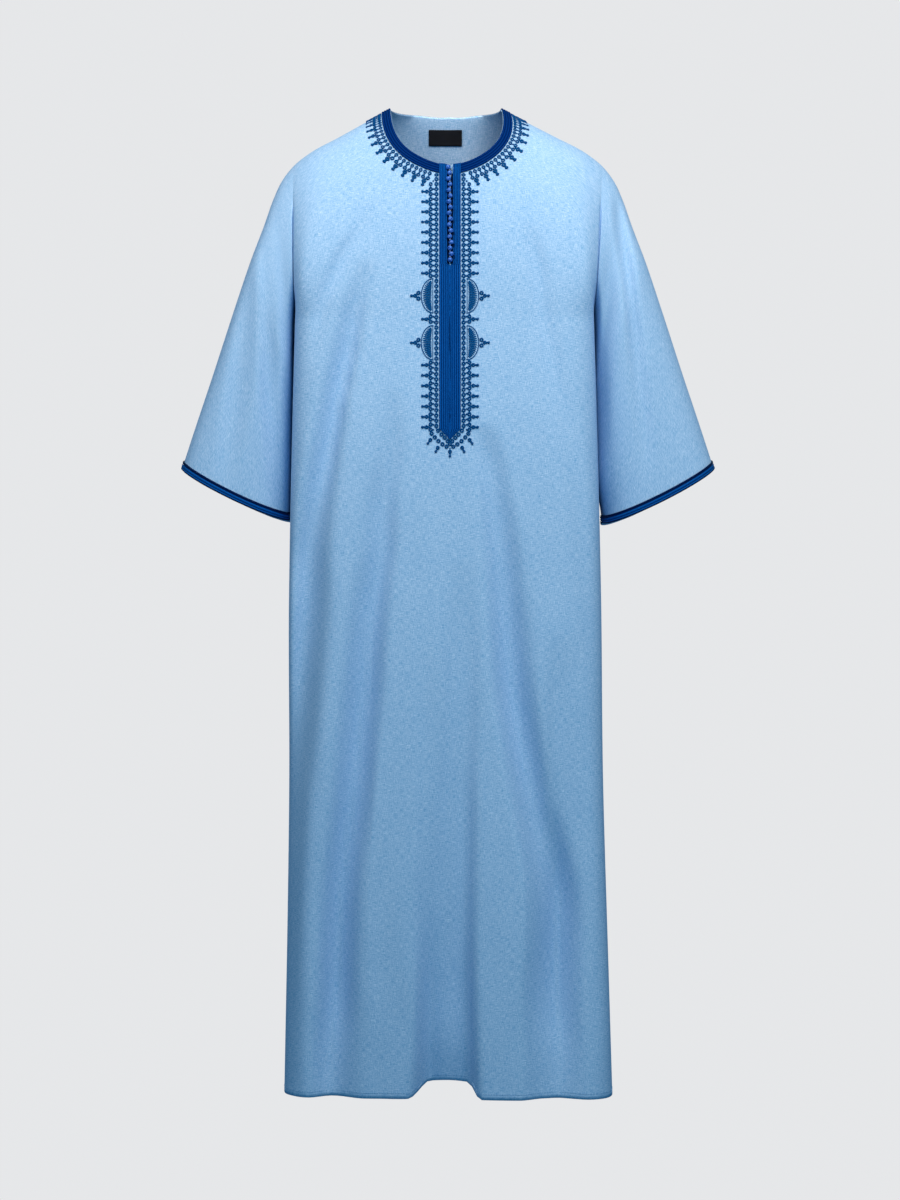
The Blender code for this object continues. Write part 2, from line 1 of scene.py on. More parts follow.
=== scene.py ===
from math import atan2, cos, pi, radians, sin

import bmesh
import bpy
import numpy as np
from mathutils import Matrix, Vector


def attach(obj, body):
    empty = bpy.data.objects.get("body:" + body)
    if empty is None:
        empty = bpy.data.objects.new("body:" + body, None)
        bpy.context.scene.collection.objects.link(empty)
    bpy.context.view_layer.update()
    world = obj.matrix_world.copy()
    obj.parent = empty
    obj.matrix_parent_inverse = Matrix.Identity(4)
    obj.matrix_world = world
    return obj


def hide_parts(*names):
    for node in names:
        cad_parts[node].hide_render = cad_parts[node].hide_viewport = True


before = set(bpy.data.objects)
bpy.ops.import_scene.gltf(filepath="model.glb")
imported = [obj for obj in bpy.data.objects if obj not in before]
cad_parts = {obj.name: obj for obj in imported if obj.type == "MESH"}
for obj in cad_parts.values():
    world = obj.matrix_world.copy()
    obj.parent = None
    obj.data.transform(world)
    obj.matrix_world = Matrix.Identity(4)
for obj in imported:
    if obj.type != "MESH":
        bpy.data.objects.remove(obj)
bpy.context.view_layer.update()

# Front and back: two T-shaped panels of plain-woven cotton chambray, pale blue from light blue warp
# and white weft, cut with the body and the sleeves in one. They are sewn together along the shoulders
# and down the sides, and each hem is turned up inside. They hang in the form that a wearer gives them.

CLOTH_THICK = 0.0005
CROWNS = {-1: 0.0195, 1: 0.030}
UNDERARM_Z = -0.310
HEM_Z = -1.4137
CENTRE_LINE = 0.003
NECK_HALF = 0.0793
NECK_SHIFT = -0.0047
SHIFT_WIDE = 0.3
SHIFT_LOW = 0.45
NECKLINES = {
    # face: fall at the centre, powers of the curve across and down
    -1: (0.567, 1.6, 4.5),
    1: (0.290, 1.9, 1.9),
}
SLIT_HALF = 0.0012
SLIT_END = 0.874
RING_POWER = 6.5
CHEST_POWER = 2.2
SHOULDER_CAP = 0.090
CAP_POWER = 5
CREASE_FROM = 0.30
CREASE_POWER = 12.0
ARMHOLE_OUT = 0.222
TOP_LINE = [
    # out, height of the shoulder and of the upper edge of the sleeve
    (0.0793, 0.000),
    (0.110, -0.016),
    (0.155, -0.040),
    (0.200, -0.064),
    (0.222, -0.081),
    (0.241, -0.106),
    (0.2515, -0.130),
    (0.2655, -0.172),
    (0.285, -0.225),
    (0.312, -0.305),
    (0.340, -0.390),
    (0.363, -0.458),
    (0.3835, -0.520),
]
BODY_RINGS = [
    # height, half width left and right, depth front left, front right and back
    (-0.310, 0.2190, 0.2090, 0.118, 0.118, 0.112),
    (-0.450, 0.2225, 0.2130, 0.122, 0.122, 0.106),
    (-0.700, 0.2277, 0.2190, 0.120, 0.121, 0.104),
    (-0.970, 0.2290, 0.2220, 0.116, 0.122, 0.112),
    (-1.200, 0.2315, 0.2285, 0.114, 0.127, 0.120),
    (-1.4137, 0.2349, 0.2349, 0.112, 0.132, 0.128),
]
SLEEVE_SEAMS = {
    # side: out, depth and height of the lower seam at the cuff
    -1: (0.2262, 0.012, -0.5945),
    1: (0.2240, 0.006, -0.5990),
}
SEAM_BESIDE = 0.0070
SEAM_FLARE = 0.75
SEAM_RUN = 0.5
ROUND_RUN = 0.35
FOLD_RUN = 0.12
SLEEVE_DEPTH_TOP = 0.096
SLEEVE_DEPTH_CUFF = 0.080
SLEEVE_SQUARE = 0.5
CUFF_BOW = 0.012
FOLDS = [
    # face, part, rows in millimetres: height, place, depth, width to the left and right, and the
    # half width of a flat floor where the trough has one
    # left side of the front
    (-1, "body", [
        (-232, -114, 0, 24, 24), (-286, -126, 9, 30, 18), (-358, -139, 19.5, 34, 17),
        (-429, -154, 23, 36, 18), (-499, -166, 25.5, 38, 20), (-570, -181, 25, 40, 28),
        (-640, -193, 30, 40, 35), (-710, -198, 34, 36, 39), (-851, -209, 36, 36, 39),
        (-992, -222, 32.5, 36, 35), (-1133, -228, 25, 36, 31), (-1274, -230, 15, 36, 29),
        (-1412, -230, 8, 36, 32),
    ]),
    # left of the centre
    (-1, "body", [
        (-415, -76, 0, 24, 21), (-499, -80, 6, 34, 25), (-570, -90, 12, 38, 28),
        (-640, -94, 17, 40, 30), (-710, -106, 21.5, 40, 32), (-851, -120, 30, 40, 35),
        (-992, -134, 33.5, 38, 35), (-1133, -151, 36, 38, 37), (-1274, -158, 36, 36, 39),
        (-1358, -164, 26, 36, 46), (-1412, -164, 22, 36, 46),
    ]),
    # centre
    (-1, "body", [
        (-654, 22, 0, 34, 28, 0), (-710, 22, 3.5, 36, 28, 3), (-851, 20, 9, 46, 30, 6),
        (-992, 14, 15.5, 48, 32, 10), (-1133, 9, 23.5, 50, 36, 13), (-1274, 6, 33.5, 54, 38, 18),
        (-1358, 4, 38, 58, 42, 22), (-1412, 3, 46, 62, 44, 25),
    ]),
    # small one inside the centre
    (-1, "body", [
        (-780, -28, 0, 18, 19), (-920, -30, 4, 18, 21), (-1133, -33, 8.5, 20, 24),
        (-1274, -33, 10, 20, 25), (-1412, -34, 4, 22, 28),
    ]),
    # right of the centre
    (-1, "body", [
        (-463, 50, 0, 24, 26), (-499, 56, 6, 26, 30), (-570, 66, 11, 28, 33), (-640, 74, 15.5, 30, 37),
        (-710, 80, 20.5, 32, 39), (-851, 95, 27.5, 36, 39), (-992, 121, 31, 40, 40),
        (-1133, 148, 36, 46, 46), (-1274, 143, 33.5, 44, 53), (-1358, 142, 22, 42, 60),
        (-1412, 142, 18, 42, 60),
    ]),
    # right of that, down to the hem
    (-1, "body", [
        (-760, 150, 0, 20, 66), (-851, 152, 6, 20, 68), (-992, 156, 12, 20, 68),
        (-1133, 160, 15, 22, 66), (-1274, 160, 14, 22, 66), (-1412, 160, 8, 22, 66),
    ]),
    # right chest
    (-1, "body", [
        (-176, 113, 0, 16, 16), (-215, 120, 4.5, 18, 20), (-244, 126, 6, 20, 22),
        (-286, 130, 6, 20, 24), (-357, 142, 5.5, 22, 26), (-428, 159, 5, 26, 26),
        (-527, 180, 4, 28, 22), (-710, 195, 2.5, 26, 16), (-852, 201, 0, 26, 14),
    ]),
    # left chest
    (-1, "body", [
        (-145, -115, 0, 14, 14), (-191, -127, 4, 16, 18), (-217, -144, 6, 18, 20),
        (-245, -157, 7, 20, 22), (-286, -174, 6, 18, 18), (-336, -184, 2.5, 16, 16),
        (-378, -191, 0, 16, 16),
    ]),
    # left sleeve, inner
    (-1, "sleeve", [
        (-187, -262, 0, 14, 20), (-249, -259, 4, 16, 20), (-334, -256, 7, 18, 20),
        (-418, -255, 8, 18, 20), (-481, -250, 6, 18, 20), (-560, -246, 3, 18, 18),
        (-611, -244, 1, 18, 18),
    ]),
    # left sleeve, outer
    (-1, "sleeve", [
        (-200, -274, 0, 18, 26), (-280, -283, 4, 20, 28), (-353, -292, 7, 22, 30),
        (-428, -302, 8, 24, 30), (-484, -310, 6, 24, 28), (-541, -318, 2.5, 22, 26),
        (-590, -322, 0, 20, 24),
    ]),
    # right sleeve, outer
    (-1, "sleeve", [
        (-121, 235, 0, 12, 10), (-145, 242, 4, 13, 12), (-166, 245, 6, 14, 13), (-201, 250, 8, 15, 14),
        (-244, 256, 9, 16, 15), (-286, 260, 9, 16, 16), (-333, 266, 8, 17, 17), (-405, 273, 6, 18, 18),
        (-457, 279, 4.5, 18, 18), (-541, 286, 0, 18, 18),
    ]),
    # right sleeve, inner
    (-1, "sleeve", [
        (-190, 222, 0, 10, 18), (-250, 228, 3, 12, 22), (-300, 229, 5.5, 14, 24),
        (-340, 224, 7, 14, 24), (-395, 218, 7.5, 12, 24), (-467, 211, 7, 10, 24),
        (-524, 206, 6, 10, 22), (-597, 202, 4, 10, 20),
    ]),
    # back left
    (1, "body", [
        (-260, -150, 0, 30, 36), (-433, -153, 3.2, 30, 36), (-606, -156, 8.4, 30, 36),
        (-837, -160, 12.4, 30, 36), (-1068, -163, 17.3, 30, 36), (-1241, -166, 20.6, 30, 36),
        (-1414, -168, 22, 30, 36),
    ]),
    # back left of the centre
    (1, "body", [
        (-150, -55, 0, 34, 34), (-340, -52, 2.8, 34, 34), (-529, -50, 7.6, 34, 34),
        (-782, -48, 13.2, 34, 34), (-1035, -46, 21.7, 34, 34), (-1224, -45, 27.5, 34, 34),
        (-1414, -45, 30, 34, 34),
    ]),
    # back right of the centre
    (1, "body", [
        (-190, 60, 0, 36, 30), (-374, 61, 3.2, 36, 30), (-557, 63, 8.4, 36, 30),
        (-802, 66, 14.8, 36, 30), (-1047, 70, 24.6, 36, 30), (-1230, 74, 31.2, 36, 30),
        (-1414, 78, 34, 36, 30),
    ]),
    # back right
    (1, "body", [
        (-300, 158, 0, 32, 28), (-467, 160, 2.8, 32, 28), (-634, 162, 7.6, 32, 28),
        (-857, 165, 10.8, 32, 28), (-1080, 168, 14.5, 32, 28), (-1247, 170, 16.9, 32, 28),
        (-1414, 172, 18, 32, 28),
    ]),
    # back of the left sleeve
    (1, "sleeve", [
        (-130, -258, 0, 18, 20), (-200, -259, 3.2, 18, 20), (-271, -260, 8.4, 18, 20),
        (-365, -262, 9.6, 18, 20), (-459, -265, 8.8, 18, 20), (-530, -268, 8.2, 18, 20),
        (-600, -272, 8, 18, 20),
    ]),
    # back of the right sleeve
    (1, "sleeve", [
        (-120, 252, 0, 20, 18), (-192, 254, 3.2, 20, 18), (-264, 257, 8.4, 20, 18),
        (-360, 262, 9.6, 20, 18), (-456, 268, 8.8, 20, 18), (-528, 274, 8.2, 20, 18),
        (-600, 280, 8, 20, 18),
    ]),
]
FOLD_FADE = 0.030
HEM_LIFT = 0.020
LIFT_PULL = 0.046
LIFT_WIDE = 0.085
LIFT_FROM = 1.6
LIFT_RUN = 0.4
CREASE_DEPTH = 0.0045
CREASE_WIDE = 0.0024
CREASE_TOP = 0.46
CREASE_RUN = 0.14
FLUTTER = 0.0011
FLUTTER_WIDE = 0.055
FLUTTER_LONG = 0.42

NECK_COLUMNS = 26
SIDE_COLUMNS = 40
SLEEVE_COLUMNS = 62
UPPER_ROWS = 56
LOWER_ROWS = 190
NECK_SETTLE = 0.64
NECK_CROWD = 2.0
CREASE_CROWD = 1.7
HEM_TURN = 0.009
HEM_FOLD = 0.0013
HEM_STEPS = (0.34, 0.67, 1.0)


def smooth(value):
    value = np.clip(value, 0.0, 1.0)
    return value * value * (3 - 2 * value)


def smooth_at(at, knots, values):
    """Values of a smooth line through the knots, for each entry of at."""
    knots = np.asarray(knots, float)
    values = np.asarray(values, float)
    slopes = np.gradient(values, knots, axis=0)
    at = np.clip(at, knots[0], knots[-1])
    low = np.clip(np.searchsorted(knots, at, side="right") - 1, 0, len(knots) - 2)
    span = knots[low + 1] - knots[low]
    part = (at - knots[low]) / span
    extra = (1,) * (values.ndim - 1)
    span = span.reshape(span.shape + extra)
    part = part.reshape(part.shape + extra)
    start = (1 + 2 * part) * (1 - part) ** 2
    end = part * part * (3 - 2 * part)
    leave = part * (1 - part) ** 2 * span
    arrive = part * part * (part - 1) * span
    return (start * values[low] + end * values[low + 1]
            + leave * slopes[low] + arrive * slopes[low + 1])


def run_along(points, axis=0):
    """Distance run through points along an axis, from 0 at the first."""
    steps = np.linalg.norm(np.diff(points, axis=axis), axis=-1)
    return np.insert(np.cumsum(steps, axis=axis), 0, 0.0, axis=axis)


class TopLine:
    """Shoulder line of the front or the back, run over the neck opening to the other side."""

    def __init__(self, crown):
        crown_rows = [(0.0, crown), (NECK_HALF / 2, crown * 0.75)]
        self.rows = np.array(crown_rows + TOP_LINE)
        self.run = run_along(self.rows)
        self.neck = self.run[len(crown_rows)]
        self.arm = np.interp(ARMHOLE_OUT, self.rows[:, 0], self.run)
        self.end = self.run[-1]

    def at(self, run):
        return smooth_at(run, self.run, self.rows)


TOP_LINES = {face: TopLine(crown) for face, crown in CROWNS.items()}
NECK_OUT = {face: line.neck / line.arm for face, line in TOP_LINES.items()}
RING_TABLE = np.array(BODY_RINGS)
RING_STEPS = np.linspace(0, 1, 481)
RING_EASE = RING_STEPS ** (RING_POWER / 2)
RING_ANGLES = pi / 2 * RING_EASE / (RING_EASE + (1 - RING_STEPS) ** (RING_POWER / 2))
RING_RUN = run_along(np.stack([
    RING_TABLE[0, 1] * np.sin(RING_ANGLES) ** (2 / RING_POWER),
    RING_TABLE[0, 3] * np.cos(RING_ANGLES) ** (2 / RING_POWER),
], axis=1))


def fold_depth(face, part, x, z):
    """How far the folds of one part pull the cloth in at a place seen from the front."""
    total = np.zeros(np.shape(x))
    for on_face, on_part, rows in FOLDS:
        if (on_face, on_part) != (face, part):
            continue
        rows = np.array(rows) / 1000
        line, depth, left, right, *floor = np.moveaxis(smooth_at(-z, -rows[:, 0], rows[:, 1:]), -1, 0)
        level = floor[0] if floor else 0.0
        aside = x - line
        wide = np.where(aside < 0, left, right)
        share = np.clip((np.abs(aside) - level) / (wide - level), 0, 1)
        total = total + depth * (1 + np.cos(pi * share)) / 2
    return total


def crease_depth(t, away):
    """The sharp crease between the body and a sleeve, at a distance away from it."""
    return CREASE_DEPTH * smooth((t - CREASE_TOP) / CREASE_RUN) * np.exp(-(away / CREASE_WIDE) ** 2)


def flutter(face, x, z):
    """The slow uneven ripple of cloth that hangs free, growing towards the hem."""
    total = np.zeros(np.shape(x))
    for number in range(5):
        wide = FLUTTER_WIDE * (0.62 + 0.23 * number)
        long = FLUTTER_LONG * (1.3 - 0.17 * number)
        turn = 2.4 * number + face
        total = total + np.sin(2 * pi * x / wide + turn + 1.7 * np.sin(2 * pi * z / long + 2 * turn))
    return FLUTTER * total / 5 * smooth(-z / 1.2)


def armhole(t):
    """Shares of the way forward, down and closed at a fall t from the shoulder to the underarm."""
    phi = np.clip(t, 0, 1) * pi / 2
    forward = np.sin(phi) ** (2 / CHEST_POWER)
    down = 1 - np.clip(np.cos(phi), 0, 1) ** (2 / CHEST_POWER)
    closed = np.clip((t - CREASE_FROM) / (1 - CREASE_FROM), 0, 1) ** CREASE_POWER
    return forward, down, closed


def body_point(face, a, fall):
    """Outer surface of the body. a runs from -1 at the left side seam to 1 at the right.
    fall runs from 0 on the shoulder line through 1 at underarm height to 2 at the hem."""
    a = np.asarray(a, float)
    fall = np.asarray(fall, float)
    out = np.abs(a)
    z_ring = UNDERARM_Z + (np.maximum(fall, 1) - 1) * (HEM_Z - UNDERARM_Z)
    left, right, front_left, front_right, back = np.moveaxis(
        smooth_at(-z_ring, -RING_TABLE[:, 0], RING_TABLE[:, 1:]), -1, 0)
    wide = np.where(a < 0, left, right)
    front = front_left + (front_right - front_left) * smooth(0.5 + a)
    deep = front if face < 0 else back
    angle = np.interp(out, RING_RUN / RING_RUN[-1], RING_ANGLES)
    ring_x = wide * np.sin(angle) ** (2 / RING_POWER)
    ring_y = deep * np.clip(np.cos(angle), 0, 1) ** (2 / RING_POWER)
    line = TOP_LINES[face]
    top = line.at(out * line.arm)
    forward, down, closed = armhole(fall)
    open_y = deep - (deep - SHOULDER_CAP) * out ** CAP_POWER
    x = top[..., 0] + (ring_x - top[..., 0]) * down
    x = np.where(a < 0, -x, x) + CENTRE_LINE * (1 - out) ** 2
    beside = np.exp(-((out - NECK_OUT[face]) / SHIFT_WIDE) ** 2)
    x = x + NECK_SHIFT * beside * (1 - smooth(fall / SHIFT_LOW))
    y = forward * (open_y + (ring_y - open_y) * closed)
    z = top[..., 1] + (z_ring - top[..., 1]) * down
    near_seam = np.clip(y / FOLD_FADE, 0, 1)
    pull = fold_depth(face, "body", x, z) * near_seam
    fine = (crease_depth(fall, (1 - out) * line.arm) + flutter(face, x, z)) * near_seam
    if face < 0:
        lift = np.clip(pull / LIFT_PULL, 0, 1) * np.exp(-(x / LIFT_WIDE) ** 2)
        z = z + HEM_LIFT * lift * smooth((fall - LIFT_FROM) / LIFT_RUN)
    return np.stack([x, face * (y - pull - fine), z], axis=-1)


def sleeve_point(face, side, b, t):
    """Outer surface of a sleeve. b runs from 0 at the armhole to 1 at the cuff, and t from 0 on
    the upper edge to 1 on the lower seam."""
    b = np.asarray(b, float)
    t = np.asarray(t, float)
    line = TOP_LINES[face]
    top = line.at(line.arm + b * (line.end - line.arm))
    pit_out = RING_TABLE[0, 1] if side < 0 else RING_TABLE[0, 2]
    cuff_out, cuff_depth, cuff_z = SLEEVE_SEAMS[side]
    beside = pit_out + SEAM_BESIDE * b
    under_x = beside + (cuff_out - beside) * smooth((b - SEAM_FLARE) / (1 - SEAM_FLARE))
    under_z = UNDERARM_Z + (cuff_z - UNDERARM_Z) * b
    under_y = cuff_depth * smooth(b / SEAM_RUN)
    rounded = smooth(b / ROUND_RUN)
    forward, down, closed = armhole(t)
    across = down + ((1 - np.cos(pi * t)) / 2 - down) * rounded
    depth = SLEEVE_DEPTH_TOP + (SLEEVE_DEPTH_CUFF - SLEEVE_DEPTH_TOP) * b
    cap = forward * (1 - closed) * SHOULDER_CAP
    y = cap + (depth * np.clip(np.sin(pi * t), 0, 1) ** SLEEVE_SQUARE - cap) * rounded
    x = side * (top[..., 0] + (under_x - top[..., 0]) * across)
    bow = CUFF_BOW * np.sin(pi * np.clip(t, 0, 1)) * b ** 3
    z = top[..., 1] + (under_z - top[..., 1]) * across - bow
    near_seam = np.clip(y / FOLD_FADE, 0, 1)
    pull = fold_depth(face, "sleeve", x, z) * near_seam * smooth(b / FOLD_RUN)
    fine = crease_depth(t, b * (line.end - line.arm)) * near_seam
    return np.stack([x, face * (y - pull - fine) + under_y * across, z], axis=-1)


def neck_fall(face, a):
    """Fall at which a body column starts: on the neckline, or on the shoulder beyond it."""
    centre_fall, across, down = NECKLINES[face]
    share = np.clip(np.abs(a) / NECK_OUT[face], 0, 1)
    return centre_fall * (1 - share ** across) ** (1 / down)


def grid_of(points):
    """A bmesh grid moved to points, an array of rows and columns, and the place of each vertex."""
    rows, columns = points.shape[:2]
    bm = bmesh.new()
    bmesh.ops.create_grid(bm, x_segments=columns - 1, y_segments=rows - 1, size=1)
    place_of = {}
    for vertex in bm.verts:
        column = round((vertex.co.x + 1) / 2 * (columns - 1))
        row = round((vertex.co.y + 1) / 2 * (rows - 1))
        vertex.co = points[row, column]
        place_of[vertex] = (row, column)
    return bm, place_of


def lay_out(bm, place_of, across, down):
    """Give each face the flat place of its corners, in metres, as its UV."""
    layer = bm.loops.layers.uv.new("UVMap")
    for face in bm.faces:
        for loop in face.loops:
            place = place_of[loop.vert]
            loop[layer].uv = (across[place], down[place])


def mesh_of(name, bm):
    mesh = bpy.data.meshes.new(name)
    bm.to_mesh(mesh)
    bm.free()
    return mesh


def put_in_scene(name, data):
    made = bpy.data.objects.new(name, data)
    bpy.context.scene.collection.objects.link(made)
    return made


def piece_of(name, bm, material, slot, *nodes):
    """Close a bmesh into a piece that rides on the body and stands for its CAD nodes."""
    mesh = mesh_of(name, bm)
    piece = put_in_scene(name, mesh)
    mesh.materials.append(material)
    mesh.shade_smooth()
    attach(piece, "root")
    if nodes:
        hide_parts(*nodes)
    return piece


def give_wall(piece, thick):
    """Thicken a piece behind its outer face."""
    wall = piece.modifiers.new("wall", "SOLIDIFY")
    wall.thickness = thick
    wall.offset = -1


def panel_columns(face):
    """Places across a panel from the left cuff to the right: (part, side, share)."""
    neck = NECK_OUT[face]
    steps = np.arange(1, NECK_COLUMNS + 1) / NECK_COLUMNS
    inner = neck * (1 - (1 - steps) ** NECK_CROWD)
    steps = np.arange(1, SIDE_COLUMNS + 1) / SIDE_COLUMNS
    outer = neck + (1 - neck) * (1 - (1 - steps) ** CREASE_CROWD)
    centre = SLIT_HALF / ARMHOLE_OUT if face < 0 else 0.0
    right = [("body", 1, share) for share in (centre, *inner, *outer)]
    steps = np.arange(1, SLEEVE_COLUMNS + 1) / SLEEVE_COLUMNS
    right += [("sleeve", 1, share) for share in steps ** CREASE_CROWD]
    right += [("turn", 1, share) for share in HEM_STEPS]
    left = [(part, -1, share) for part, _, share in reversed(right)]
    return (left if face < 0 else left[:-1]) + right


def turned_in(edge, inside, outward, share):
    """A place on a hem that is folded to the inside: round the edge, and then back along it."""
    round_edge = min(share / 0.4, 1.0)
    back = max(share - 0.4, 0.0) / 0.6
    return edge + (inside - edge) * back - outward * HEM_FOLD * round_edge


def panel_points(face, columns):
    """Rows and columns of points over a panel, with its turned hems."""
    t = np.linspace(0, 1, UPPER_ROWS)
    below = 1 + np.arange(1, LOWER_ROWS + 1) / LOWER_ROWS
    points = np.zeros((UPPER_ROWS + LOWER_ROWS + len(HEM_STEPS), len(columns), 3))
    hem_share = HEM_TURN / (UNDERARM_Z - HEM_Z)
    cuff_share = HEM_TURN / (TOP_LINES[face].end - TOP_LINES[face].arm)
    for number, (part, side, share) in enumerate(columns):
        if part == "body":
            start = neck_fall(face, share)
            eased = start + (NECK_SETTLE - start) * t / NECK_SETTLE
            falls = np.concatenate([np.where(t < NECK_SETTLE, eased, t), below])
            line = body_point(face, np.full(len(falls), side * share), falls)
            inside = body_point(face, np.array([side * share]), np.array([2 - hem_share]))[0]
            # straight out of the front or back, and aside near the side seams
            outward = np.array([0.35 * side * share ** 4, face * (1 - share ** 6), 0.0])
            outward = outward / max(np.linalg.norm(outward), 0.3)
            turn = [turned_in(line[-1], inside, outward, step) for step in HEM_STEPS]
            points[:, number] = np.concatenate([line, turn])
        elif part == "sleeve":
            points[:UPPER_ROWS, number] = sleeve_point(face, side, np.full(len(t), share), t)
        else:
            edge = sleeve_point(face, side, np.ones(len(t)), t)
            inside = sleeve_point(face, side, np.full(len(t), 1 - cuff_share), t)
            outward = np.zeros((len(t), 3))
            outward[:, 1] = face * np.sin(pi * t)
            points[:UPPER_ROWS, number] = turned_in(edge, inside, outward, share)
    return points


def bare_cells(bm, place_of, face, columns):
    """The grid's faces in the slit, below the sleeves and between a sleeve and the body."""
    bare = []
    for cell in bm.faces:
        row = min(place_of[vertex][0] for vertex in cell.verts)
        column = min(place_of[vertex][1] for vertex in cell.verts)
        parts = {columns[column][0], columns[column + 1][0]}
        in_slit = face < 0 and column == len(columns) // 2 - 1 and row < int(SLIT_END * (UPPER_ROWS - 1))
        if in_slit or (row >= UPPER_ROWS - 1 and parts != {"body"}):
            bare.append(cell)
    return bare


def cloth_panel(name, face, material, node):
    """Front or back: body and both half sleeves, cut in one, with turned hems."""
    columns = panel_columns(face)
    points = panel_points(face, columns)
    centre = len(columns) // 2
    across = run_along(points, axis=1)
    across = across - across[:, centre:centre + 1]
    down = run_along(points)
    down = down[UPPER_ROWS - 1] - down

    bm, place_of = grid_of(points)
    lay_out(bm, place_of, across, down)
    bmesh.ops.delete(bm, geom=bare_cells(bm, place_of, face, columns), context="FACES")
    bm.normal_update()
    if sum(cell.normal.y for cell in bm.faces) * face < 0:
        bmesh.ops.reverse_faces(bm, faces=list(bm.faces))
    panel = piece_of(name, bm, material, "chambray", node)
    give_wall(panel, CLOTH_THICK)


def add_node(tree, kind, inputs=(), **settings):
    """A new node of a tree. inputs gives its sockets in order, as sockets, values or None."""
    made = tree.nodes.new("ShaderNode" + kind)
    for key, value in settings.items():
        setattr(made, key, value)
    pairs = inputs.items() if isinstance(inputs, dict) else enumerate(inputs)
    for key, value in pairs:
        if isinstance(value, bpy.types.NodeSocket):
            tree.links.new(value, made.inputs[key])
        elif value is not None:
            made.inputs[key].default_value = value
    return made


def math_node(tree, operation, *inputs):
    return add_node(tree, "Math", inputs, operation=operation).outputs[0]


def mix_colours(tree, share, first, second):
    return add_node(tree, "Mix", {0: share, 6: first, 7: second}, data_type="RGBA").outputs[2]


def noise_of(tree, vector, stretch, scale, detail=2.0):
    """Noise on a stretched copy of a vector, from 0 to 1."""
    stretched = add_node(tree, "VectorMath", [vector, stretch], operation="MULTIPLY").outputs[0]
    made = add_node(tree, "TexNoise", {"Vector": stretched, "Scale": scale, "Detail": detail})
    return made.outputs["Fac"]


def spread(tree, value, low, high, to_low=0.0, to_high=1.0):
    """A value between low and high, spread over another range."""
    return add_node(tree, "MapRange", [value, low, high, to_low, to_high]).outputs[0]


def new_group(name, inputs, outputs):
    """An empty node group with named sockets: the tree, its inputs and its output node."""
    tree = bpy.data.node_groups.new(name, "ShaderNodeTree")
    for socket_name, kind, default in inputs:
        socket = tree.interface.new_socket(socket_name, in_out="INPUT", socket_type="NodeSocket" + kind)
        if default is not None:
            socket.default_value = default
    for socket_name, kind in outputs:
        tree.interface.new_socket(socket_name, in_out="OUTPUT", socket_type="NodeSocket" + kind)
    ins = tree.nodes.new("NodeGroupInput")
    outs = tree.nodes.new("NodeGroupOutput")
    return tree, ins.outputs, outs


def use_group(tree, group, **inputs):
    made = tree.nodes.new("ShaderNodeGroup")
    made.node_tree = group
    for key, value in inputs.items():
        socket = made.inputs[key.replace("_", " ").capitalize()]
        if isinstance(value, bpy.types.NodeSocket):
            tree.links.new(value, socket)
        else:
            socket.default_value = value
    return made.outputs


def new_material(name):
    """A material with one Principled shader: the tree and the shader."""
    material = bpy.data.materials.new(name)
    material.use_nodes = True
    return material, material.node_tree, material.node_tree.nodes["Principled BSDF"]


def bump(tree, shader, height, distance, strength=1.0):
    made = add_node(tree, "Bump", {"Strength": strength, "Distance": distance, "Height": height})
    tree.links.new(made.outputs[0], shader.inputs["Normal"])


# Chambray seen close: pale slubs along the weft, shorter ones along the warp, and fine flecks.
THREAD_PITCH = 0.0007
WEFT_SLUBS = (120, 1400, 1)
WARP_SLUBS = (1300, 120, 1)
FLECKS = 640.0
PATCHES = 22.0
EVEN = (1, 1, 1)

WEAVE, ins, outs = new_group(
    "Chambray weave",
    [("Vector", "Vector", None), ("Warp", "Color", None), ("Weft", "Color", None)],
    [("Color", "Color"), ("Height", "Float")])
flat = ins["Vector"]
weft_slub = spread(WEAVE, noise_of(WEAVE, flat, WEFT_SLUBS, 1.0, 3.0), 0.36, 0.64)
warp_slub = spread(WEAVE, noise_of(WEAVE, flat, WARP_SLUBS, 1.0, 3.0), 0.36, 0.64)
fleck = spread(WEAVE, noise_of(WEAVE, flat, EVEN, FLECKS), 0.37, 0.63)
patch = spread(WEAVE, noise_of(WEAVE, flat, EVEN, PATCHES, 4.0), 0.3, 0.7, -0.025, 0.025)
pale = math_node(WEAVE, "MULTIPLY", weft_slub, 0.42)
pale = math_node(WEAVE, "ADD", pale, math_node(WEAVE, "MULTIPLY", warp_slub, 0.32))
pale = math_node(WEAVE, "ADD", pale, math_node(WEAVE, "MULTIPLY", fleck, 0.26))
pale = math_node(WEAVE, "ADD", pale, patch)
colour = mix_colours(WEAVE, pale, ins["Warp"], ins["Weft"])
WEAVE.links.new(colour, outs.inputs["Color"])
split = add_node(WEAVE, "SeparateXYZ", [flat]).outputs
ridges = []
for axis in (0, 1):
    turns = math_node(WEAVE, "MULTIPLY", split[axis], pi / THREAD_PITCH)
    ridges.append(math_node(WEAVE, "SINE", turns))
crossing = math_node(WEAVE, "MULTIPLY", *ridges)
height = math_node(WEAVE, "ADD", math_node(WEAVE, "MULTIPLY", crossing, 0.25),
                   math_node(WEAVE, "MULTIPLY", pale, 0.45))
WEAVE.links.new(height, outs.inputs["Height"])

CHAMBRAY_WARP = (0.085, 0.300, 0.600, 1)
CHAMBRAY_WEFT = (0.500, 0.680, 0.930, 1)

chambray, tree, shader = new_material("chambray")
flat = add_node(tree, "UVMap", uv_map="UVMap").outputs[0]
woven = use_group(tree, WEAVE, vector=flat, warp=CHAMBRAY_WARP, weft=CHAMBRAY_WEFT)
tree.links.new(woven["Color"], shader.inputs["Base Color"])
bump(tree, shader, woven["Height"], 0.00014)
shader.inputs["Roughness"].default_value = 0.88
shader.inputs["Specular IOR Level"].default_value = 0.12

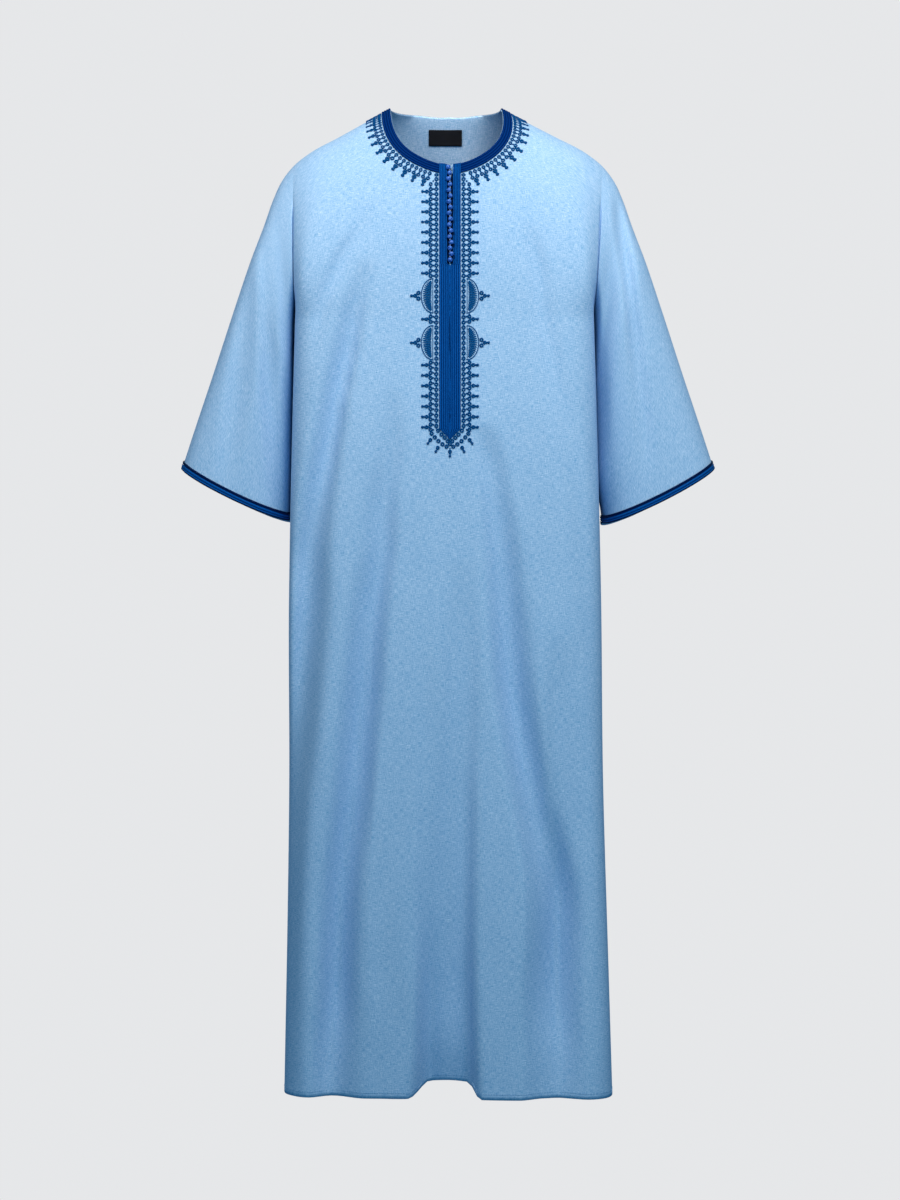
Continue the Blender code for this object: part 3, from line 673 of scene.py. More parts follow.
cloth_panel("front_panel", -1, chambray, "front")
cloth_panel("back_panel", 1, chambray, "back")

# Ribbed braid of the neck and the placket: royal blue silky passementerie, four or five round cords
# woven side by side into a flat band, sewn on flat round the neck, down both sides of the slit, and
# then as one band down to a point.

BRAID_BASE = 0.0007
BRAID_CORD = 0.0011
NECK_EDGE = 0.0003
NECK_BRAID = 0.0143
NECK_CORDS = 4
NECK_REACHES = 7
NECK_SECTIONS = 30
BAND_CORDS = 5
PAST_NECK = 2 * NECK_HALF
BAND_HALF = 0.0152
BAND_TOP_Z = -0.104
CHANNEL_HALF = 0.0042
CHANNEL_END_Z = -0.2362
BAND_JOIN_Z = -0.2390
BAND_TAPER_Z = -0.470
BAND_TIP_Z = -0.484
BAND_MEET = -0.0002
BAND_TIP = 0.0004
OVER_NECK = 0.0012
OVER_NECK_FROM = 0.010
OVER_NECK_LONG = 0.015
UNDER_BAND = 0.0050
LAY_GAP = 0.0003
CORD_PROFILE = [
    # share across a cord, height
    (0.00, 0.00),
    (0.10, 0.55),
    (0.28, 0.90),
    (0.50, 1.00),
    (0.72, 0.90),
    (0.90, 0.55),
]
GUESS_OUT = 0.26
GUESS_FALL = 0.75
SMALL_STEP = 1e-4
SIDES = ((-1, "left"), (1, "right"))
INSIDE_CHEST = (0, 0, -0.2)


def unit(vectors):
    return vectors / np.linalg.norm(vectors, axis=-1, keepdims=True)


def normal_at(face, a, fall):
    """Direction straight out of the body's cloth."""
    across = body_point(face, a + SMALL_STEP, fall) - body_point(face, a - SMALL_STEP, fall)
    along = body_point(face, a, fall + SMALL_STEP) - body_point(face, a, fall - SMALL_STEP)
    return unit(np.cross(across, along) * face)


def settle(face, target, a, fall, axes=(0, 1, 2)):
    """Places (a, fall) of the body's cloth that lie nearest to targets, along the given axes."""
    axes = list(axes)
    for _ in range(10):
        here = body_point(face, a, fall)
        across = ((body_point(face, a + SMALL_STEP, fall) - here) / SMALL_STEP)[..., axes]
        along = ((body_point(face, a, fall + SMALL_STEP) - here) / SMALL_STEP)[..., axes]
        miss = (target - here)[..., axes]
        aa = (across * across).sum(-1)
        ab = (across * along).sum(-1)
        bb = (along * along).sum(-1)
        am = (across * miss).sum(-1)
        bm = (along * miss).sum(-1)
        area = aa * bb - ab * ab + 1e-12
        a = a + np.clip((am * bb - bm * ab) / area, -0.1, 0.1)
        fall = np.clip(fall + np.clip((bm * aa - am * ab) / area, -0.1, 0.1), 0.0, 1.99)
    return a, fall


def seen_at(face, x, z):
    """Places (a, fall) of the body's cloth that show at x and z from the front or back."""
    x, z = np.broadcast_arrays(np.asarray(x, float), np.asarray(z, float))
    below = 1 + (UNDERARM_Z - z) / (UNDERARM_Z - HEM_Z)
    guess = np.where(z > UNDERARM_Z, GUESS_FALL, below)
    target = np.stack([x, np.zeros(x.shape), z], axis=-1)
    return np.stack(settle(face, target, x / GUESS_OUT, guess, axes=(0, 2)), axis=-1)


def beside_neck(face, x_from, x_to, reaches, sections):
    """Places beside the neckline: an array (sections, reaches, 2) of (a, fall), and its run."""
    a_line = NECK_OUT[face] * np.sin(np.linspace(-pi / 2, pi / 2, 801))
    edge_line = body_point(face, a_line, neck_fall(face, a_line))
    run_line = run_along(edge_line)
    run_from, run_to = np.interp([x_from, x_to], edge_line[:, 0], run_line)
    a = np.interp(np.linspace(run_from, run_to, sections), run_line, a_line)
    fall = neck_fall(face, a)
    edge = body_point(face, a, fall)
    nearer = np.where(np.abs(a) > 1e-3, a * (1 - SMALL_STEP), a - SMALL_STEP)
    along = (edge - body_point(face, nearer, neck_fall(face, nearer))) * np.sign(a - nearer)[:, None]
    outward = unit(np.cross(along, normal_at(face, a, fall)) * -face)
    places = []
    for reach in reaches:
        a, fall = settle(face, edge + outward * reach, a, fall)
        places.append(np.stack([a, fall], axis=-1))
    return np.stack(places, axis=1), abs(run_to - run_from)


def cord_lifts(cords):
    """Shares across a braid of side-by-side cords, and the height over the cloth at each."""
    shares = [(cord + share) / cords for cord in range(cords) for share, _ in CORD_PROFILE]
    heights = [height for _, height in CORD_PROFILE] * cords
    return np.array(shares + [1.0]), LAY_GAP + BRAID_BASE + BRAID_CORD * np.array(heights + [0.0])


def finer(table, rows, shares):
    """A table of places read at more rows, and at the given shares across."""
    table = smooth_at(np.linspace(0, 1, rows), np.linspace(0, 1, len(table)), table)
    table = np.moveaxis(table, 1, 0)
    return np.moveaxis(smooth_at(shares, np.linspace(0, 1, len(table)), table), 0, 1)


def laid_on(face, places, lifts):
    """Points over the body's cloth: places is an array of (a, fall)."""
    a, fall = places[..., 0], places[..., 1]
    over = body_point(face, a, fall) + normal_at(face, a, fall) * np.asarray(lifts)[..., None]
    over[..., 1] = face * np.maximum(face * over[..., 1], 0)
    return over


def ribbed_strip(name, over, wide, material, slot, *nodes, behind=INSIDE_CHEST, thick=BRAID_BASE):
    """A strip from a grid of its upper points, turned away from a point behind it, with its own
    thickness below them."""
    columns = over.shape[1]
    down, across = np.meshgrid(run_along(over[:, columns // 2]), np.linspace(0, wide, columns),
                               indexing="ij")
    bm, place_of = grid_of(over)
    lay_out(bm, place_of, across, down)
    piece = piece_of(name, bm, material, slot, *nodes)
    mesh = piece.data
    if sum((polygon.center - Vector(behind)).dot(polygon.normal) for polygon in mesh.polygons) < 0:
        mesh.flip_normals()
    give_wall(piece, thick)


# Silky twisted thread: fine slanting strands with painted shade in the grooves between them, a painted
# highlight along the crown of each cord, and painted shade in the gaps between the cords of a braid.
# Every trim uses it.
FLECKS_SILK = 700.0
THREADS_WITH_PAINTED_LIGHT, ins, outs = new_group(
    "Twisted threads with painted light",
    [("Vector", "Vector", None), ("Pitch", "Float", 0.001), ("Slant", "Float", 1.0),
     ("Cord", "Float", 0.003), ("Gap", "Float", 1.0), ("Dark", "Color", None), ("Bright", "Color", None)],
    [("Color", "Color"), ("Height", "Float")])
split = add_node(THREADS_WITH_PAINTED_LIGHT, "SeparateXYZ", [ins["Vector"]]).outputs
slanted = math_node(THREADS_WITH_PAINTED_LIGHT, "ADD", split[1], math_node(THREADS_WITH_PAINTED_LIGHT, "MULTIPLY", split[0], ins["Slant"]))
uneven = noise_of(THREADS_WITH_PAINTED_LIGHT, ins["Vector"], EVEN, FLECKS_SILK)
turns = math_node(THREADS_WITH_PAINTED_LIGHT, "DIVIDE", slanted, ins["Pitch"])
turns = math_node(THREADS_WITH_PAINTED_LIGHT, "ADD", turns, math_node(THREADS_WITH_PAINTED_LIGHT, "MULTIPLY", uneven, 0.6))
# strand: painted shade in the grooves between the twisted strands; it is also the bump height
strand = math_node(THREADS_WITH_PAINTED_LIGHT, "SINE", math_node(THREADS_WITH_PAINTED_LIGHT, "MULTIPLY", turns, 2 * pi))
strand = spread(THREADS_WITH_PAINTED_LIGHT, strand, -1.0, 1.0, 0.3, 1.0)
# crown: a painted highlight along the middle of each cord that falls to painted shade in the gaps between
# cords; Gap sets its strength
across = math_node(THREADS_WITH_PAINTED_LIGHT, "MULTIPLY", math_node(THREADS_WITH_PAINTED_LIGHT, "DIVIDE", split[0], ins["Cord"]), pi)
crown = math_node(THREADS_WITH_PAINTED_LIGHT, "ABSOLUTE", math_node(THREADS_WITH_PAINTED_LIGHT, "SINE", across))
crown = spread(THREADS_WITH_PAINTED_LIGHT, crown, 0.25, 0.85)
crown = add_node(THREADS_WITH_PAINTED_LIGHT, "Mix", {0: ins["Gap"], 2: 1.0, 3: crown}, data_type="FLOAT").outputs[0]
# The colour runs from Dark in the painted shade to Bright in the painted highlight, with an uneven tone
shade = math_node(THREADS_WITH_PAINTED_LIGHT, "MULTIPLY", spread(THREADS_WITH_PAINTED_LIGHT, uneven, 0.25, 0.75, 0.55, 1.0), strand)
shade = math_node(THREADS_WITH_PAINTED_LIGHT, "MULTIPLY", shade, crown)
THREADS_WITH_PAINTED_LIGHT.links.new(mix_colours(THREADS_WITH_PAINTED_LIGHT, shade, ins["Dark"], ins["Bright"]), outs.inputs["Color"])
THREADS_WITH_PAINTED_LIGHT.links.new(strand, outs.inputs["Height"])

# ROYAL_DARK is the painted shade in the gaps and grooves of the braid cords; ROYAL_DEEP and ROYAL_BRIGHT are
# the painted highlights on their crowns, for the neck and the placket
ROYAL_DARK = (0.0003, 0.0060, 0.055, 1)
ROYAL_DEEP = (0.0008, 0.0400, 0.235, 1)
ROYAL_BRIGHT = (0.0014, 0.1250, 0.540, 1)
ROYAL_SHINE = (0.04, 0.30, 1.0, 1)
CORD_TWIST = 0.0013


def silk_material(name, dark, bright, pitch, slant, roughness, cord=0.003, gap=0.0, shine=ROYAL_SHINE,
                  gloss=0.25):
    """A satin thread finish on the shared strands, coloured from dark in their painted shade to bright in
    their painted highlights. cord is the width of each cord across.
    """
    material, tree, shader = new_material(name)
    source = add_node(tree, "UVMap", uv_map="UVMap").outputs[0]
    strands = use_group(tree, THREADS_WITH_PAINTED_LIGHT, vector=source, pitch=pitch, slant=slant, cord=cord, gap=gap,
                        dark=dark, bright=bright)
    tree.links.new(strands["Color"], shader.inputs["Base Color"])
    bump(tree, shader, strands["Height"], 0.00018)
    shader.inputs["Roughness"].default_value = roughness
    shader.inputs["Specular IOR Level"].default_value = gloss
    shader.inputs["Specular Tint"].default_value = shine
    return material


# gap=1.0 gives each cord its full painted highlight along the crown and painted shade in the gaps
neck_silk = silk_material("neck braid", ROYAL_DARK, ROYAL_DEEP, CORD_TWIST, 0.7, 0.60,
                          cord=(NECK_BRAID - NECK_EDGE) / NECK_CORDS, gap=1.0, gloss=0.06)
placket_silk = silk_material("placket braid", ROYAL_DARK, ROYAL_BRIGHT, CORD_TWIST, 0.4, 0.45,
                             cord=BAND_HALF / BAND_CORDS, gap=1.0)


def neck_braid(name, face, x_from, x_to, rows):
    reaches = NECK_EDGE + (NECK_BRAID - NECK_EDGE) * np.linspace(0, 1, NECK_REACHES)
    table, _ = beside_neck(face, x_from, x_to, reaches, NECK_SECTIONS)
    shares, lifts = cord_lifts(NECK_CORDS)
    over = laid_on(face, finer(table, rows, shares), lifts)
    ribbed_strip(name + "_cords", over, NECK_BRAID - NECK_EDGE, neck_silk, "royal_braid", name)


for side, word in SIDES:
    neck_braid(f"neck_braid_{word}", -1, CENTRE_LINE + side * (BAND_HALF - UNDER_BAND), side * PAST_NECK, 90)
neck_braid("neck_braid_back", 1, -PAST_NECK, PAST_NECK, 120)


def band_outer(z):
    """Half width of the placket band at a height, down to its pointed end."""
    taper = np.clip((BAND_TAPER_Z - z) / (BAND_TAPER_Z - BAND_TIP_Z), 0, 1)
    return BAND_HALF + (BAND_TIP - BAND_HALF) * taper


def neck_edge_at(x):
    """Places (a, fall) on the front neckline at the given x."""
    a = x / GUESS_OUT
    for _ in range(12):
        a = a + (x - body_point(-1, a, neck_fall(-1, a))[..., 0]) / GUESS_OUT
    return np.stack([a, neck_fall(-1, a)], axis=-1)


def beside_slit(side, outs, heights):
    """Places down the front, out from the centre line. The first row lies on the neckline."""
    below = seen_at(-1, CENTRE_LINE + side * outs[1:], heights[1:, None])
    return np.concatenate([neck_edge_at(CENTRE_LINE + side * outs[0])[None], below])


def placket_braid(name, side):
    """One half of the placket band: beside the slit above, and meeting the other half below it."""
    heights = np.concatenate([
        [BAND_TOP_Z],
        np.linspace(BAND_TOP_Z, CHANNEL_END_Z, 40),
        np.linspace(CHANNEL_END_Z, BAND_JOIN_Z, 6)[1:],
        np.linspace(BAND_JOIN_Z, BAND_TAPER_Z, 80)[1:],
        np.linspace(BAND_TAPER_Z, BAND_TIP_Z, 8)[1:],
    ])
    shares, lifts = cord_lifts(BAND_CORDS)
    joined = smooth((CHANNEL_END_Z - heights) / (CHANNEL_END_Z - BAND_JOIN_Z))[:, None]
    inner = CHANNEL_HALF + (BAND_MEET - CHANNEL_HALF) * joined
    outs = inner + (band_outer(heights)[:, None] - inner) * shares
    past_neck = smooth((BAND_TOP_Z - OVER_NECK_FROM - heights) / OVER_NECK_LONG)
    over = laid_on(-1, beside_slit(side, outs, heights), lifts + OVER_NECK * (1 - past_neck[:, None]))
    ribbed_strip(name + "_cords", over, BAND_HALF, placket_silk, "royal_braid", name)


for side, word in SIDES:
    placket_braid(f"placket_braid_{word}", side)

# Cuff braid: a narrower band of the same silk, three raised cords, navy at the band's edges and bright
# royal blue over its middle, with a painted highlight along each cord's crown and painted shade in the
# gaps, sewn flat round the outside of each sleeve opening.

CUFF_BRAID = 0.0122
CUFF_CORDS = 3
CUFF_STEPS = 60
CUFF_BACK = 0.05
CUFF_NAVY = (0.0004, 0.0040, 0.040, 1)
CUFF_BRIGHT_FROM = (0.0026, 0.0044)
CUFF_BRIGHT_TO = (0.0108, 0.0094)

# gap=0.7: painted shade in the gaps between the cuff cords and a painted highlight along their crowns
cuff_silk = silk_material("cuff braid", CUFF_NAVY, ROYAL_BRIGHT, CORD_TWIST, 0.9, 0.45,
                          cord=CUFF_BRAID / CUFF_CORDS, gap=0.7)
tree = cuff_silk.node_tree
threads = next(node for node in tree.nodes if node.type == "GROUP")
split = add_node(tree, "SeparateXYZ", [add_node(tree, "UVMap", uv_map="UVMap").outputs[0]]).outputs
middle = math_node(tree, "MULTIPLY", spread(tree, split[0], *CUFF_BRIGHT_FROM),
                   spread(tree, split[0], *CUFF_BRIGHT_TO))
tree.links.new(mix_colours(tree, middle, CUFF_NAVY, ROYAL_BRIGHT), threads.inputs["Bright"])


def sleeve_normal(face, side, b, t):
    t = np.clip(t, SMALL_STEP, 1 - SMALL_STEP)
    across = sleeve_point(face, side, b, t) - sleeve_point(face, side, b - SMALL_STEP, t)
    along = sleeve_point(face, side, b, t + SMALL_STEP) - sleeve_point(face, side, b, t - SMALL_STEP)
    return unit(np.cross(across, along) * face * side)


def cuff_braid(name, side):
    shares, lifts = cord_lifts(CUFF_CORDS)
    t = np.linspace(0, 1, CUFF_STEPS)
    near = sleeve_point(-1, side, np.full(len(t), 1 - CUFF_BACK), t)
    end = sleeve_point(-1, side, np.ones(len(t)), t)
    reach = CUFF_BRAID * CUFF_BACK / np.linalg.norm(end - near, axis=-1)
    t = np.broadcast_to(t[:, None], (len(t), len(shares)))
    b = 1 - reach[:, None] * (1 - shares)
    walls = {face: sleeve_point(face, side, b, t) for face in (-1, 1)}
    normals = {face: sleeve_normal(face, side, b, t) for face in (-1, 1)}
    for end in (0, -1):
        normals[-1][end] = normals[1][end] = unit(normals[-1][end] + normals[1][end])
    cloth = np.concatenate([walls[-1], walls[1][::-1][1:]])
    normal = np.concatenate([normals[-1], normals[1][::-1][1:]])
    over = cloth + normal * lifts[:, None]
    ribbed_strip(name + "_cords", over, CUFF_BRAID, cuff_silk, "royal_braid", name,
                 behind=cloth.reshape(-1, 3).mean(axis=0))


for side, word in SIDES:
    cuff_braid(f"cuff_braid_{word}", side)

# Embroidery: borders of dark blue rayon thread outside the braid, machine-stitched in satin stitch.
# Two rows of small rings run beside the braid, a sprig of knots stands out from every second ring,
# and two half medallions of radial stitches sit on each side of the band.

THREAD_LIFT = 0.0006
RING_PITCH = 0.0073
RING_RADIUS = 0.0020
RING_THICK = 0.00115
INNER_ROW = 0.0040
OUTER_ROW = 0.0120
KNOT_ROW = 0.0176
NECK_ROW = 0.0210
TIP_ROW = 0.0237
BORDER_TOP_Z = -0.1135
TOOTH_PITCH = 2 * RING_PITCH
NECK_PITCH = 0.0116
NECK_RING = (0.95, 0.80, 1)
BORDER_WIDE = 0.028
BORDER_AWAY = 0.0045
TOOTH_RUNS = [
    # first height, count
    (-0.1332, 9),
    (-0.3148, 1),
    (-0.3796, 7),
]
MEDALLION_HEIGHTS = [-0.2819, -0.3481]
MEDALLION_HALF = 0.0240
MEDALLION_INNER = 0.0090
MEDALLION_REACH = 0.0162
MEDALLION_SPOKES = 19
OUTLINE_STITCHES = 48
BASE_STITCHES = 26
POINT_RINGS = [
    # out from the centre line and height of each ring round the pointed end
    (0.0168, -0.4722),
    (0.0120, -0.4776),
    (0.0076, -0.4820),
    (0.0032, -0.4868),
    (0.0258, -0.4762),
    (0.0214, -0.4815),
    (0.0162, -0.4868),
    (0.0104, -0.4912),
    (0.0047, -0.4946),
]
POINT_SPRIGS = [
    # out from the centre line, height and aim of each sprig round the pointed end
    (0.0243, -0.4806, -0.95),
    (0.0146, -0.4912, -1.10),
]
STITCH_PITCH = 0.0006
# INDIGO_DARK is the painted shade between the strands, INDIGO_BRIGHT the painted highlight on them
INDIGO_DARK = (0.0004, 0.0070, 0.045, 1)
INDIGO_BRIGHT = (0.0020, 0.0680, 0.240, 1)
INDIGO_SHINE = (0.05, 0.40, 1.0, 1)

embroidery = silk_material("embroidery thread", INDIGO_DARK, INDIGO_BRIGHT, STITCH_PITCH, 0.15, 0.5,
                           shine=INDIGO_SHINE)


def wound_uv(bm):
    """UV of a ring or bead: the height on it, and the run round its centre."""
    layer = bm.loops.layers.uv.verify()
    for face in bm.faces:
        middle = face.calc_center_median()
        around = atan2(middle.y, middle.x)
        for loop in face.loops:
            at = loop.vert.co
            turn = (atan2(at.y, at.x) - around + pi) % (2 * pi) - pi
            loop[layer].uv = (at.z, (around + turn) * RING_RADIUS)


def template(bm, name):
    """Keep a stitched motif as a mesh, with its vertices as rows for fast placing."""
    wound_uv(bm)
    mesh = mesh_of(name, bm)
    return mesh, np.array([vertex.co for vertex in mesh.vertices])


def ring_template(radius, thick, steps=12, sides=5, flat=0.75):
    bm = bmesh.new()
    bmesh.ops.create_circle(bm, segments=sides, radius=thick)
    bmesh.ops.rotate(bm, verts=bm.verts, matrix=Matrix.Rotation(pi / 2, 3, "X"))
    bmesh.ops.translate(bm, verts=bm.verts, vec=(radius, 0, 0))
    bmesh.ops.spin(bm, geom=bm.edges, cent=(0, 0, 0), axis=(0, 0, 1), angle=2 * pi, steps=steps,
                   use_merge=True)
    bmesh.ops.scale(bm, verts=bm.verts, vec=(1, 1, flat))
    bmesh.ops.recalc_face_normals(bm, faces=bm.faces)
    return template(bm, "stitched ring")


def bead_template(radius, flat=0.6):
    bm = bmesh.new()
    bmesh.ops.create_uvsphere(bm, u_segments=8, v_segments=5, radius=radius)
    bmesh.ops.scale(bm, verts=bm.verts, vec=(1, 1, flat))
    return template(bm, "stitched bead")


RING = ring_template(RING_RADIUS, RING_THICK)
KNOT = ring_template(0.0017, 0.0012, 10)
TIP = bead_template(0.0021)
NECK = bead_template(0.0015)
LINK = bead_template(0.0011)
STITCH = bead_template(0.0005)
FOOT_MOTIFS = [
    # motif and height on the centre line, below the point
    (RING, -0.4908),
    (KNOT, -0.5018),
    (NECK, -0.5052),
    (TIP, -0.5080),
    (LINK, -0.4975),
]


def place(motifs, motif, out, along, stretch=(1, 1, 1), turn=0.0):
    """Lay a copy of a motif at a flat place of the border."""
    mesh, corners = motif
    corners = corners * stretch
    flat_x = corners[:, 0] * cos(turn) - corners[:, 1] * sin(turn) + out
    flat_y = corners[:, 0] * sin(turn) + corners[:, 1] * cos(turn) + along
    motifs.append((mesh, np.stack([flat_x, flat_y, corners[:, 2] + THREAD_LIFT], axis=1)))


def sprig(motifs, out, along, aim=0.0):
    """A knot, a thin neck and a round tip that stand out from the outer row. aim turns it aside."""
    for reach, motif in ((KNOT_ROW, KNOT), (NECK_ROW, NECK), (TIP_ROW, TIP)):
        step = reach - OUTER_ROW
        place(motifs, motif, out + OUTER_ROW + step * cos(aim), along + step * sin(aim))


def medallion(motifs, middle):
    """Half a disc of fanned stitches inside a corded outline, with a trefoil at its tip."""
    for number in range(MEDALLION_SPOKES):
        share = 2 * (number + 0.5) / MEDALLION_SPOKES - 1
        angle = share * pi * 0.43
        start = (0.0012, MEDALLION_HALF * 0.80 * share)
        end = (MEDALLION_REACH * 0.93 * cos(angle), MEDALLION_HALF * 0.93 * sin(angle))
        step = (end[0] - start[0], end[1] - start[1])
        long = max((step[0] ** 2 + step[1] ** 2) ** 0.5, 0.0015)
        out = MEDALLION_INNER + start[0] + step[0] / 2
        along = middle + start[1] + step[1] / 2
        place(motifs, STITCH, out, along, (long / 0.001, 2.35, 1.3), atan2(step[1], step[0]))
    for number in range(OUTLINE_STITCHES):
        angle = pi * (number / (OUTLINE_STITCHES - 1) - 0.5)
        out = MEDALLION_INNER + MEDALLION_REACH * cos(angle)
        along = middle + MEDALLION_HALF * sin(angle)
        aim = atan2(MEDALLION_HALF * cos(angle), -MEDALLION_REACH * sin(angle))
        place(motifs, STITCH, out, along, (2.7, 1.6, 1.3), aim)
    for number in range(BASE_STITCHES):
        along = middle + MEDALLION_HALF * (2 * number / (BASE_STITCHES - 1) - 1)
        place(motifs, STITCH, MEDALLION_INNER, along, (1.2, 2.2, 1.2))
    tip = MEDALLION_INNER + MEDALLION_REACH
    for side in (-1, 1):
        place(motifs, RING, tip + 0.0040, middle + side * 0.0040)
    place(motifs, KNOT, tip + 0.0084, middle)
    place(motifs, NECK, tip + 0.0116, middle)
    place(motifs, TIP, tip + 0.0140, middle)


def placket_motifs():
    """The border beside the band, flat: x runs out from the band's edge and y is the height."""
    motifs = []
    first_tooth = TOOTH_RUNS[0][0]
    for number in range(int((BORDER_TOP_Z - BAND_TAPER_Z) / RING_PITCH) + 1):
        z = first_tooth + RING_PITCH * (2.5 - number)
        place(motifs, RING, INNER_ROW, z)
        place(motifs, LINK, INNER_ROW, z - RING_PITCH / 2)
    for first, many in TOOTH_RUNS:
        for number in range(many):
            z = first - TOOTH_PITCH * number
            sprig(motifs, 0, z)
            for step in (-0.5, 0.5):
                place(motifs, RING, OUTER_ROW, z + RING_PITCH * step)
                place(motifs, LINK, (INNER_ROW + OUTER_ROW) / 2, z + RING_PITCH * step, (1.1, 1.2, 1))
            place(motifs, LINK, OUTER_ROW + 0.0016, z, (1.7, 1.2, 1))
            place(motifs, LINK, OUTER_ROW, z + RING_PITCH)
    place(motifs, RING, INNER_ROW, first_tooth + RING_PITCH * 3.35, (1, 0.8, 1))
    place(motifs, RING, OUTER_ROW, first_tooth + RING_PITCH * 1.5, (0.9, 0.9, 1))
    place(motifs, LINK, INNER_ROW + 0.0045, first_tooth + RING_PITCH * 2.1, (1.2, 1.2, 1))
    for middle in MEDALLION_HEIGHTS:
        medallion(motifs, middle)
    for out, z in POINT_RINGS:
        place(motifs, RING, out - BAND_HALF, z)
    for out, z, aim in POINT_SPRIGS:
        sprig(motifs, out - BAND_HALF - OUTER_ROW, z, aim)
    return motifs


def move_to(bm, points):
    for vertex, at in zip(bm.verts, points):
        vertex.co = at


def thread_cover(name, motifs, flat_of, node):
    """Join stitched motifs into a piece: flat_of gives the cloth's places for flat x and y."""
    bm = bmesh.new()
    for mesh, _ in motifs:
        bm.from_mesh(mesh)
    flat = np.concatenate([corners for _, corners in motifs])
    move_to(bm, laid_on(-1, flat_of(flat[:, 0], flat[:, 1]), flat[:, 2]))
    bmesh.ops.recalc_face_normals(bm, faces=bm.faces)
    piece_of(name, bm, embroidery, "embroidery", node)


def neck_motifs(run):
    """The border round the neck, flat: x runs out from the braid and y along the neckline."""
    motifs = []
    count = round(run / NECK_PITCH)
    unit = run / count
    for number in range(count):
        middle = unit * (number + 0.5)
        sprig(motifs, 0, middle)
        place(motifs, LINK, OUTER_ROW + 0.002, middle)
        for step in (-0.25, 0.25):
            place(motifs, RING, INNER_ROW, middle + unit * step, NECK_RING)
            place(motifs, RING, OUTER_ROW, middle + unit * step, NECK_RING)
            place(motifs, LINK, (INNER_ROW + OUTER_ROW) / 2, middle + unit * step)
    return motifs


for side, word in SIDES:
    motifs = placket_motifs()
    if side > 0:
        for motif, z in FOOT_MOTIFS:
            place(motifs, motif, -BAND_HALF, z)

    def beside_band(x, y, side=side):
        return seen_at(-1, CENTRE_LINE + side * (BAND_HALF + x), y)

    thread_cover(f"placket_embroidery_{word}", motifs, beside_band, f"placket_border_{word}")

    reaches = np.linspace(0, BORDER_WIDE, 8)
    x_from = CENTRE_LINE + side * (BAND_HALF + BORDER_AWAY)
    table, run = beside_neck(-1, x_from, side * PAST_NECK, NECK_BRAID + reaches, 40)

    def round_neck(x, y, table=table, run=run, reaches=reaches):
        rows = np.clip(y / run, 0, 1) * (len(table) - 1)
        cells = np.clip(x / reaches[-1], 0, 1) * (len(reaches) - 1)
        row = np.minimum(rows.astype(int), len(table) - 2)
        cell = np.minimum(cells.astype(int), len(reaches) - 2)
        down = (rows - row)[:, None]
        aside = (cells - cell)[:, None]
        near = table[row, cell] * (1 - down) + table[row + 1, cell] * down
        far = table[row, cell + 1] * (1 - down) + table[row + 1, cell + 1] * down
        return near * (1 - aside) + far * aside

    thread_cover(f"neck_embroidery_{word}", neck_motifs(run), round_neck, f"neck_border_{word}")

# Buttons and loops: seventeen little balls knotted from silky cord, in a close row down the slit, each
# held by a loop of thin dark cord from the edge of the braid beside it. The bright strands of the knots
# are painted glints, and the near-black loop cord is partly painted shadow between the buttons.

BUTTON_COUNT = 17
BUTTON_TOP_Z = -0.099
BUTTON_PITCH = 0.0083
BUTTON_RADIUS = 0.0036
BUTTON_ASIDE = -0.0015
BUTTON_DRIFT = 0.0025
BUTTON_STAGGER = 0.0009
KNOT_CORD = 0.00115
KNOT_VARY = 40
LOOP_CORD = 0.0007
LOOP_LIFTS = (0.0006, 0.0018)
LOOP_ASIDE = 0.0002
# BUTTON_BRIGHT is the colour of painted glints on the knotted strands, BUTTON_DARK the painted shade between
# them.
BUTTON_DARK = (0.0004, 0.0016, 0.016, 1)
BUTTON_BRIGHT = (0.0480, 0.1800, 0.700, 1)
BUTTON_SHINE = (0.50, 0.62, 1.0, 1)
# LOOP_DARK and LOOP_BRIGHT: the cord's own dark blue, darkened to near black as painted shadow between the
# buttons and in the slit.
LOOP_DARK = (0.0003, 0.0008, 0.005, 1)
LOOP_BRIGHT = (0.0020, 0.0120, 0.060, 1)

button_cord = silk_material("knotted cord", BUTTON_DARK, BUTTON_BRIGHT, 0.0012, 0.8, 0.25,
                            shine=BUTTON_SHINE, gloss=0.8)
loop_cord_and_shadow = silk_material("loop cord and shadow", LOOP_DARK, LOOP_BRIGHT, 0.0010, 0.8, 0.5)

KNOT_RING = ring_template(BUTTON_RADIUS - KNOT_CORD, KNOT_CORD, 14, 6, flat=1.0)
LOOP_RING = ring_template(0.0040, LOOP_CORD, 16, 5, flat=1.0)
KNOT_TURNS = [
    # tilt, turn
    (25, 0),
    (80, 30),
    (80, 120),
    (45, 75),
]


def add_turned(bm, mesh, turned):
    """Add a copy of a mesh to a bmesh, turned by a matrix, and give the new vertices."""
    before = len(bm.verts)
    bm.from_mesh(mesh)
    bm.verts.ensure_lookup_table()
    added = bm.verts[before:]
    bmesh.ops.rotate(bm, verts=added, matrix=turned)
    return added


